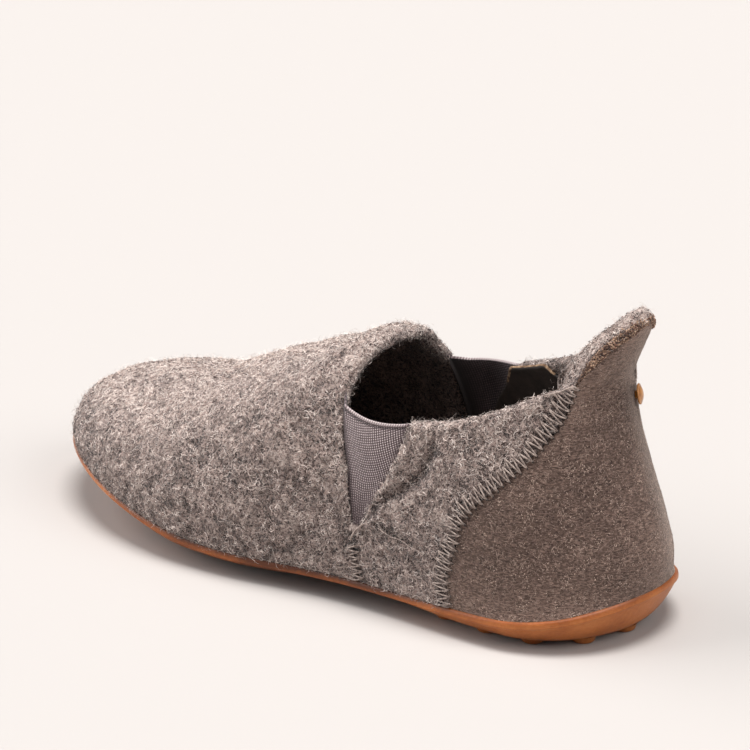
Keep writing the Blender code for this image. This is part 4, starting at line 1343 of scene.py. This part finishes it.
def build_lining():
    """Dark leather round the inside of the heel, its front corners standing up behind the gores."""
    shares = np.linspace(0.10, 1.0, 44)
    end = np.linspace(0.86, 1.0, 24)
    side = np.concatenate([-end[::-1], np.linspace(-0.85, 0.85, 40), end])[:, None]
    u = side * table_line(LINING_FRONT, shares)
    rows = rows_from_heel(u)
    v = shares * table_line(LINING_TOP, rows)
    above = np.where(u < 0.0, table_line(LINING_TOP, rows, 2), -LINING_TUCK) * eased((shares - 0.9) / 0.1)
    wall = FELT_WALL + (HEEL_WALL - FELT_WALL) * heel_weight(u) + LINING_GAP
    wall = wall + RIM_SWELL * bell((1.0 - v) * wall_length(u), RIM_SWELL_RUN)
    points = np.stack([sunk(u, v, wall + LINING_THICK), sunk(u, v, wall)])
    points[..., 2] += above
    wide, tall = u.shape
    count = wide * tall
    ring = border_ring(wide, tall)
    sheets = net_faces(wide, tall)
    edges = np.stack([ring[:-1], ring[1:], count + ring[1:], count + ring[:-1]], -1)
    faces = np.concatenate([sheets[:, ::-1], sheets + count, edges])
    bake = np.stack([0.25 + 0.25 * side + 0.0 * v, v], -1).reshape(-1, 2)
    bake = np.concatenate([bake, bake + (0.5, 0.0)])
    mesh = make_mesh("heel_lining", points.reshape(-1, 3), faces, {BAKE_MAP: bake})
    make_piece(mesh, lining_material())
    marks = np.zeros(len(faces), bool)
    marks[-len(edges):] = rows.ravel()[ring[:-1]] > LINING_BARE_EDGE
    marks[:tall - 1] = v[0, 1:] > LINING_SHOWN_SHARE
    show_cut_edge(mesh, marks)


# Sole
GAP = 0.3
SOLE_LIP = 0.4
SOLE_RIM = 0.1
SOLE_THICK = 3.0
SOLE_LEDGE = 4.7
SOLE_CUP_RUN = 8.0
SOLE_EDGE_RUN = 10.0
SPINE_HEEL_ROW = 4
SPINE_TOE_ROW = 17

# Rings of the sole by inset, out from the cup and in again below. Columns of the rim: inset, share down
MIDDLE = 99.0
CUP_INSETS = (MIDDLE, 12.7, 10.5, 9.0, 7.6, 6.5, 5.5, SOLE_LEDGE)
LEDGE_INSET = 2.4
RIM_PROFILE = ((0.9, 0.0), (0.5, 0.03), (0.25, 0.14), (0.08, 0.34), (0.0, 0.62), (0.0, 0.85))
# Painted shade along the top rings of the rolled rim.
RIM_SHADE = (-0.30, -0.30, -0.28, -0.20, -0.08, 0.0)
EDGE_TURNS = 15
UNDER_INSETS = (14.0, 20.0, MIDDLE)

# Columns: x, height of the lip, power of the edge's curve
EDGE_ROWS = ((0.0, 1.2, 2.8), (60.0, 1.2, 2.2), (120.0, 1.2, 2.0), (150.0, 0.7, 2.0), (174.0, 0.5, 2.0))

# Columns: x, height of the underside
GROUND_ROWS = (
    (0.0, 1.7), (16.0, 1.1), (42.0, 1.2), (68.0, 3.2), (94.0, 1.3),
    (106.0, 1.2), (122.0, 1.6), (140.0, 5.3), (156.0, 10.0), (174.0, 15.2),
)

# Painted shade under the sole's waist and painted light towards its toe. Columns: x, shade
SOLE_SHADE = (
    (0.0, 0.0), (35.0, -0.06), (60.0, -0.30), (95.0, -0.30), (125.0, -0.02), (150.0, 0.10), (174.0, 0.12),
)
STUD_TALL = 1.2
STUD_RADIUS = 2.9
STUD_SIDES = 24
STUD_EDGE_PITCH = 11.5
STUD_EDGE_INSET = 9.5
STUD_BALL_INSET = 14.0
STUD_ROW_PITCH = 10.5
STUD_ROW_START = 0.9
STUD_LINE_PITCH = 11.5
STUD_CLEAR = 9.6
STUD_HEEL_END = 52.0
STUD_BALL_START = 86.0
STUD_TOE_END = 140.0


def spine_point(u):
    """Point on the middle line of the sole that a row runs in to."""
    near = np.clip(rows_from_heel(u), SPINE_HEEL_ROW, SPINE_TOE_ROW)
    return (last_row(near)[..., :2] + last_row(LOOP_COUNT - near)[..., :2]) / 2


def inset_plan(u, inset):
    """Point in plan set in from the sole's edge, and no further than the middle line."""
    edge = last_row(u)[..., :2] + plan_normal(u) * SOLE_LIP
    run = spine_point(u) - edge
    far = np.linalg.norm(run, axis=-1)
    return edge + run * (np.minimum(inset, far) / far)[..., None]


def ground_height(x):
    """Height of the sole's underside, with the arch and the toe spring."""
    return table_curve(GROUND_ROWS, x)


def ground_under(u, inset):
    return ground_height(inset_plan(u, inset)[..., 0])


def sole_top(u, inset):
    """Height of the sole's upper face: the ledge, then a cup down to the floor."""
    floor = ground_under(u, inset) + SOLE_THICK
    ledge = last_row(u)[..., 2] - GAP
    drop = rounding(inset - SOLE_LEDGE, SOLE_CUP_RUN)
    return np.minimum(ledge, floor) + np.maximum(ledge - floor, 0.0) * drop


def ring_points(u, inset, height):
    return np.concatenate([inset_plan(u, inset), height[:, None]], axis=1)


def inside_loop(line, x, y):
    """Whether a plan point lies inside a closed line."""
    other = np.roll(line, -1, axis=0)
    spans = (line[:, 1] > y) != (other[:, 1] > y)
    rise = np.where(spans, other[:, 1] - line[:, 1], 1.0)
    crossing = line[:, 0] + (y - line[:, 1]) * (other[:, 0] - line[:, 0]) / rise
    return np.count_nonzero(spans & (crossing > x)) % 2 == 1


def stud_places():
    """Plan points of the studs: a line inside the edge, then staggered rows in the space it leaves."""
    fine = np.linspace(0.0, LOOP_COUNT, 1601)[:-1]
    at_ball = last_row(fine)[:, 0] > (STUD_HEEL_END + STUD_BALL_START) / 2
    line = inset_plan(fine, np.where(at_ball, STUD_BALL_INSET, STUD_EDGE_INSET))
    steps = np.linalg.norm(np.roll(line, -1, axis=0) - line, axis=1)
    run = np.concatenate([[0.0], np.cumsum(steps)[:-1]])
    number = int(steps.sum() // STUD_EDGE_PITCH)
    wanted = [line[np.searchsorted(run, k * steps.sum() / number)] for k in range(number)]
    for row, column in itertools.product(range(int(STUD_TOE_END / STUD_ROW_PITCH) + 1), range(-3, 4)):
        y = (column + 0.5 * (row % 2)) * STUD_LINE_PITCH + ORIGIN[1]
        wanted.append(((row + STUD_ROW_START) * STUD_ROW_PITCH, y))
    places = []
    for x, y in wanted:
        under = x < STUD_HEEL_END or STUD_BALL_START < x < STUD_TOE_END
        edge = np.min(np.hypot(line[:, 0] - x, line[:, 1] - y))
        inside = edge < 0.5 or inside_loop(line, x, y)
        clear = all(math.hypot(x - px, y - py) > STUD_CLEAR for px, py in places)
        if under and inside and clear:
            places.append((x, y))
    return places


def stud_shape(x, y):
    """One low round stud with a softened foot, its top buried in the sole."""
    base = float(ground_height(np.array(x)))
    foot = max(base - STUD_TALL, 0.0)
    profile = (
        (-STUD_RADIUS, foot), (-0.9, foot), (-0.45, foot + 0.12), (-0.15, foot + 0.45),
        (0.0, base + 0.1), (0.5, base + 0.7),
    )
    ring = ring_round(np.array((1.0, 0.0, 0.0)), np.array((0.0, 1.0, 0.0)), STUD_SIDES)
    points = np.stack([(x, y, z) + ring * (STUD_RADIUS + wider) for wider, z in profile], 1)
    return points.reshape(-1, 3), net_faces(STUD_SIDES, len(profile), True)[:, ::-1]


def build_outsole():
    """Rubber cup sole with a rolled edge, arch, toe spring and studs."""
    u = np.arange(0.0, LOOP_COUNT, 1.0 / 8.0)
    rings = [ring_points(u, inset, sole_top(u, inset)) for inset in CUP_INSETS]
    feather = last_row(u)[..., 2]
    rings.append(ring_points(u, LEDGE_INSET, feather - GAP))
    edge_x = inset_plan(u, 0.0)[:, 0]
    power = table_curve(EDGE_ROWS, edge_x, 2)
    lip = feather - GAP - table_curve(EDGE_ROWS, edge_x, 1)
    top = feather + SOLE_RIM
    first_of_rim = len(rings)
    rings += [ring_points(u, inset, top + (lip - top) * share) for inset, share in RIM_PROFILE]
    for turn in np.linspace(0.0, math.pi / 2.0, EDGE_TURNS):
        inset = SOLE_EDGE_RUN * (1.0 - math.cos(turn)) + 0.25 * eased(turn / 0.2)
        low = ground_under(u, inset)
        rings.append(ring_points(u, inset, low + (lip - low) * max(math.cos(turn), 0.0) ** power))
    rings += [ring_points(u, inset, ground_under(u, inset)) for inset in UNDER_INSETS]
    grid = np.stack(rings, 1)
    shell = (grid.reshape(-1, 3), net_faces(len(u), len(rings), True)[:, ::-1])
    points, faces = join([shell] + [stud_shape(x, y) for x, y in stud_places()])
    # Painted shade under the waist and along the rim's top, painted light towards the toe.
    shade = table_line(SOLE_SHADE, points[:, 0])
    rim = np.zeros((len(u), len(rings)))
    rim[:, first_of_rim:first_of_rim + len(RIM_SHADE)] = RIM_SHADE
    shade[:rim.size] += rim.ravel()
    mesh = make_mesh("gum_outsole", points, faces, None, {"shade": shade})
    weld(mesh)
    make_piece(mesh, rubber_material(), ("outsole",))


# Footbed. Columns of its soft edge: inset past the edge, drop
INSOLE_THICK = 2.4
INSOLE_LIFT = 0.6
INSOLE_EDGE = 4.8
INSOLE_HEEL_EXTRA = 2.2
INSOLE_INSETS = (MIDDLE, 26.0, 20.0, 16.0, 12.7, 9.0)
INSOLE_SOFT_EDGE = ((0.6, 0.05), (0.2, 0.35))
INSOLE_EDGE_TALL = 1.2


def build_insole():
    """Felt footbed lying in the cup of the sole."""
    u = np.arange(0.0, LOOP_COUNT, 1.0 / 6.0)
    edge = INSOLE_EDGE + INSOLE_HEEL_EXTRA * heel_weight(u)
    rows = [(inset, INSOLE_THICK) for inset in INSOLE_INSETS]
    rows += [(edge + past, INSOLE_THICK - drop) for past, drop in INSOLE_SOFT_EDGE]
    rows += [(edge, INSOLE_EDGE_TALL), (edge + 0.3, 0.0), (12.7, 0.0), (MIDDLE, 0.0)]
    rings = [ring_points(u, inset, sole_top(u, inset) + INSOLE_LIFT + tall) for inset, tall in rows]
    faces = net_faces(len(u), len(rings), True)[:, ::-1]
    mesh = make_mesh("felt_footbed", np.stack(rings, 1).reshape(-1, 3), faces)
    weld(mesh)
    make_piece(mesh, footbed_material(), ("insole",))


# Button. Columns of its profile: radius, height
BUTTON_ROW = -1.1
BUTTON_SHARE = 0.667
BUTTON_LIFT = 0.6
BUTTON_FLUTES = 24
BUTTON_FLUTE_DEEP = 0.04
BUTTON_FLUTED_RADIUS = 2.0
BUTTON_PROFILE = (
    (0.9, -0.6), (0.9, 0.1), (2.1, 0.1), (2.34, 0.18), (2.42, 0.36), (2.36, 0.56), (2.2, 0.64),
    (2.04, 0.60), (1.92, 0.68), (1.5, 0.94), (1.0, 1.12), (0.5, 1.20), (0.0, 1.22),
)


def build_button():
    """Plain turned button with a fluted rim, standing on its post."""
    place = np.array(BUTTON_ROW), np.array(BUTTON_SHARE)
    out = surface_normal(*place)
    seat = surface(*place) + out * (BUTTON_LIFT - COUNTER_TOP)
    side = unit(np.array((out[1], -out[0], 0.0)))
    sides = 4 * BUTTON_FLUTES
    ring = ring_round(side, np.cross(side, out), sides)
    flute = BUTTON_FLUTE_DEEP * np.cos(BUTTON_FLUTES * np.arange(sides) * 2.0 * math.pi / sides)[:, None]
    points = np.stack([
        seat + out * lift + ring * (radius + flute * (radius > BUTTON_FLUTED_RADIUS))
        for radius, lift in BUTTON_PROFILE
    ], 1)
    faces = net_faces(sides, len(BUTTON_PROFILE), True)[:, ::-1]
    mesh = make_mesh("heel_button", points.reshape(-1, 3), faces)
    weld(mesh)
    make_piece(mesh, button_material(), ("heel_stud",))


# Stage
FLOOR_RADIUS = 30.0
FLOOR_COLOUR = (0.4588, 0.4201, 0.3963, 1.0)
SKY_TINT = np.array((0.70, 1.0, 1.20))
SKY_STOPS = ((0.03, 0.9 * SKY_TINT), (0.10, 0.14 * SKY_TINT))

# Columns: name, where it shines from, spread in degrees, strength
LIGHTS = (
    ("overhead_key", (-0.10, 0.03, 1.0), 30.0, 3.9),
    ("toe_side", (1.7, 0.7, 1.0), 60.0, 3.2),
    ("heel_side", (-1.2, 0.0, 1.0), 40.0, 1.4),
)


def build_floor():
    """Wide pale floor."""
    mesh = bpy.data.meshes.new("floor")
    work = bmesh.new()
    bmesh.ops.create_circle(work, cap_ends=True, segments=96, radius=FLOOR_RADIUS)
    work.to_mesh(mesh)
    work.free()
    floor = bpy.data.objects.new("floor", mesh)
    bpy.context.scene.collection.objects.link(floor)
    mesh.materials.append(new_material("pale_floor", 0.9, Specular_IOR_Level=0.0, Base_Color=FLOOR_COLOUR))


def build_light():
    """Dim cool sky with a bright horizon, and soft suns overhead, beyond the toe and behind the heel."""
    scene = bpy.context.scene
    scene.view_settings.view_transform = "Standard"
    scene.view_settings.look = "None"
    world = bpy.data.worlds.new("studio")
    world.use_nodes = True
    place = add_node(world, "TexCoord").outputs["Generated"]
    height = add_node(world, "SeparateXYZ", {"Vector": place}).outputs["Z"]
    sky = add_ramp(world, height, SKY_STOPS, plain)
    world.node_tree.links.new(sky, world.node_tree.nodes["Background"].inputs["Color"])
    scene.world = world
    for name, source, spread, strength in LIGHTS:
        lamp = bpy.data.lights.new(name, "SUN")
        lamp.energy = strength
        lamp.angle = math.radians(spread)
        holder = bpy.data.objects.new(name, lamp)
        holder.rotation_euler = Vector(source).to_track_quat("Z", "Y").to_euler()
        scene.collection.objects.link(holder)


def build_camera():
    """Camera at the photograph's angle, turned so that the aim point falls on its pixel."""
    turn = math.radians(CAMERA_TURN)
    rise = math.radians(CAMERA_RISE)
    back = Vector((-math.sin(turn) * math.cos(rise), math.cos(turn) * math.cos(rise), math.sin(rise)))
    right = Vector((0.0, 0.0, 1.0)).cross(back).normalized()
    up = back.cross(right)
    aim = Vector(placed(AIM_POINT))
    place = aim + back * CAMERA_DISTANCE * MM
    middle = IMAGE_SIDE / 2.0
    reach = CAMERA_DISTANCE * MM / FOCAL_PIXELS
    aim = aim + right * (middle - AIM_PIXEL[0]) * reach + up * (AIM_PIXEL[1] - middle) * reach
    data = bpy.data.cameras.new("photo_camera")
    data.sensor_width = SENSOR
    data.lens = FOCAL_PIXELS / IMAGE_SIDE * SENSOR
    data.clip_start = 0.05
    data.clip_end = 100.0
    camera = bpy.data.objects.new("photo_camera", data)
    camera.location = place
    camera.rotation_euler = (aim - place).to_track_quat("-Z", "Y").to_euler()
    bpy.context.scene.collection.objects.link(camera)
    bpy.context.scene.camera = camera


build_floor()
build_light()
build_camera()
felt = build_felt()
build_fibres(felt)
counter = build_counter()
build_nap(counter)
build_edge_grains(felt)
build_lining()
for side in SIDES:
    build_gore(side)
build_stitches()
build_outsole()
build_insole()
build_button()
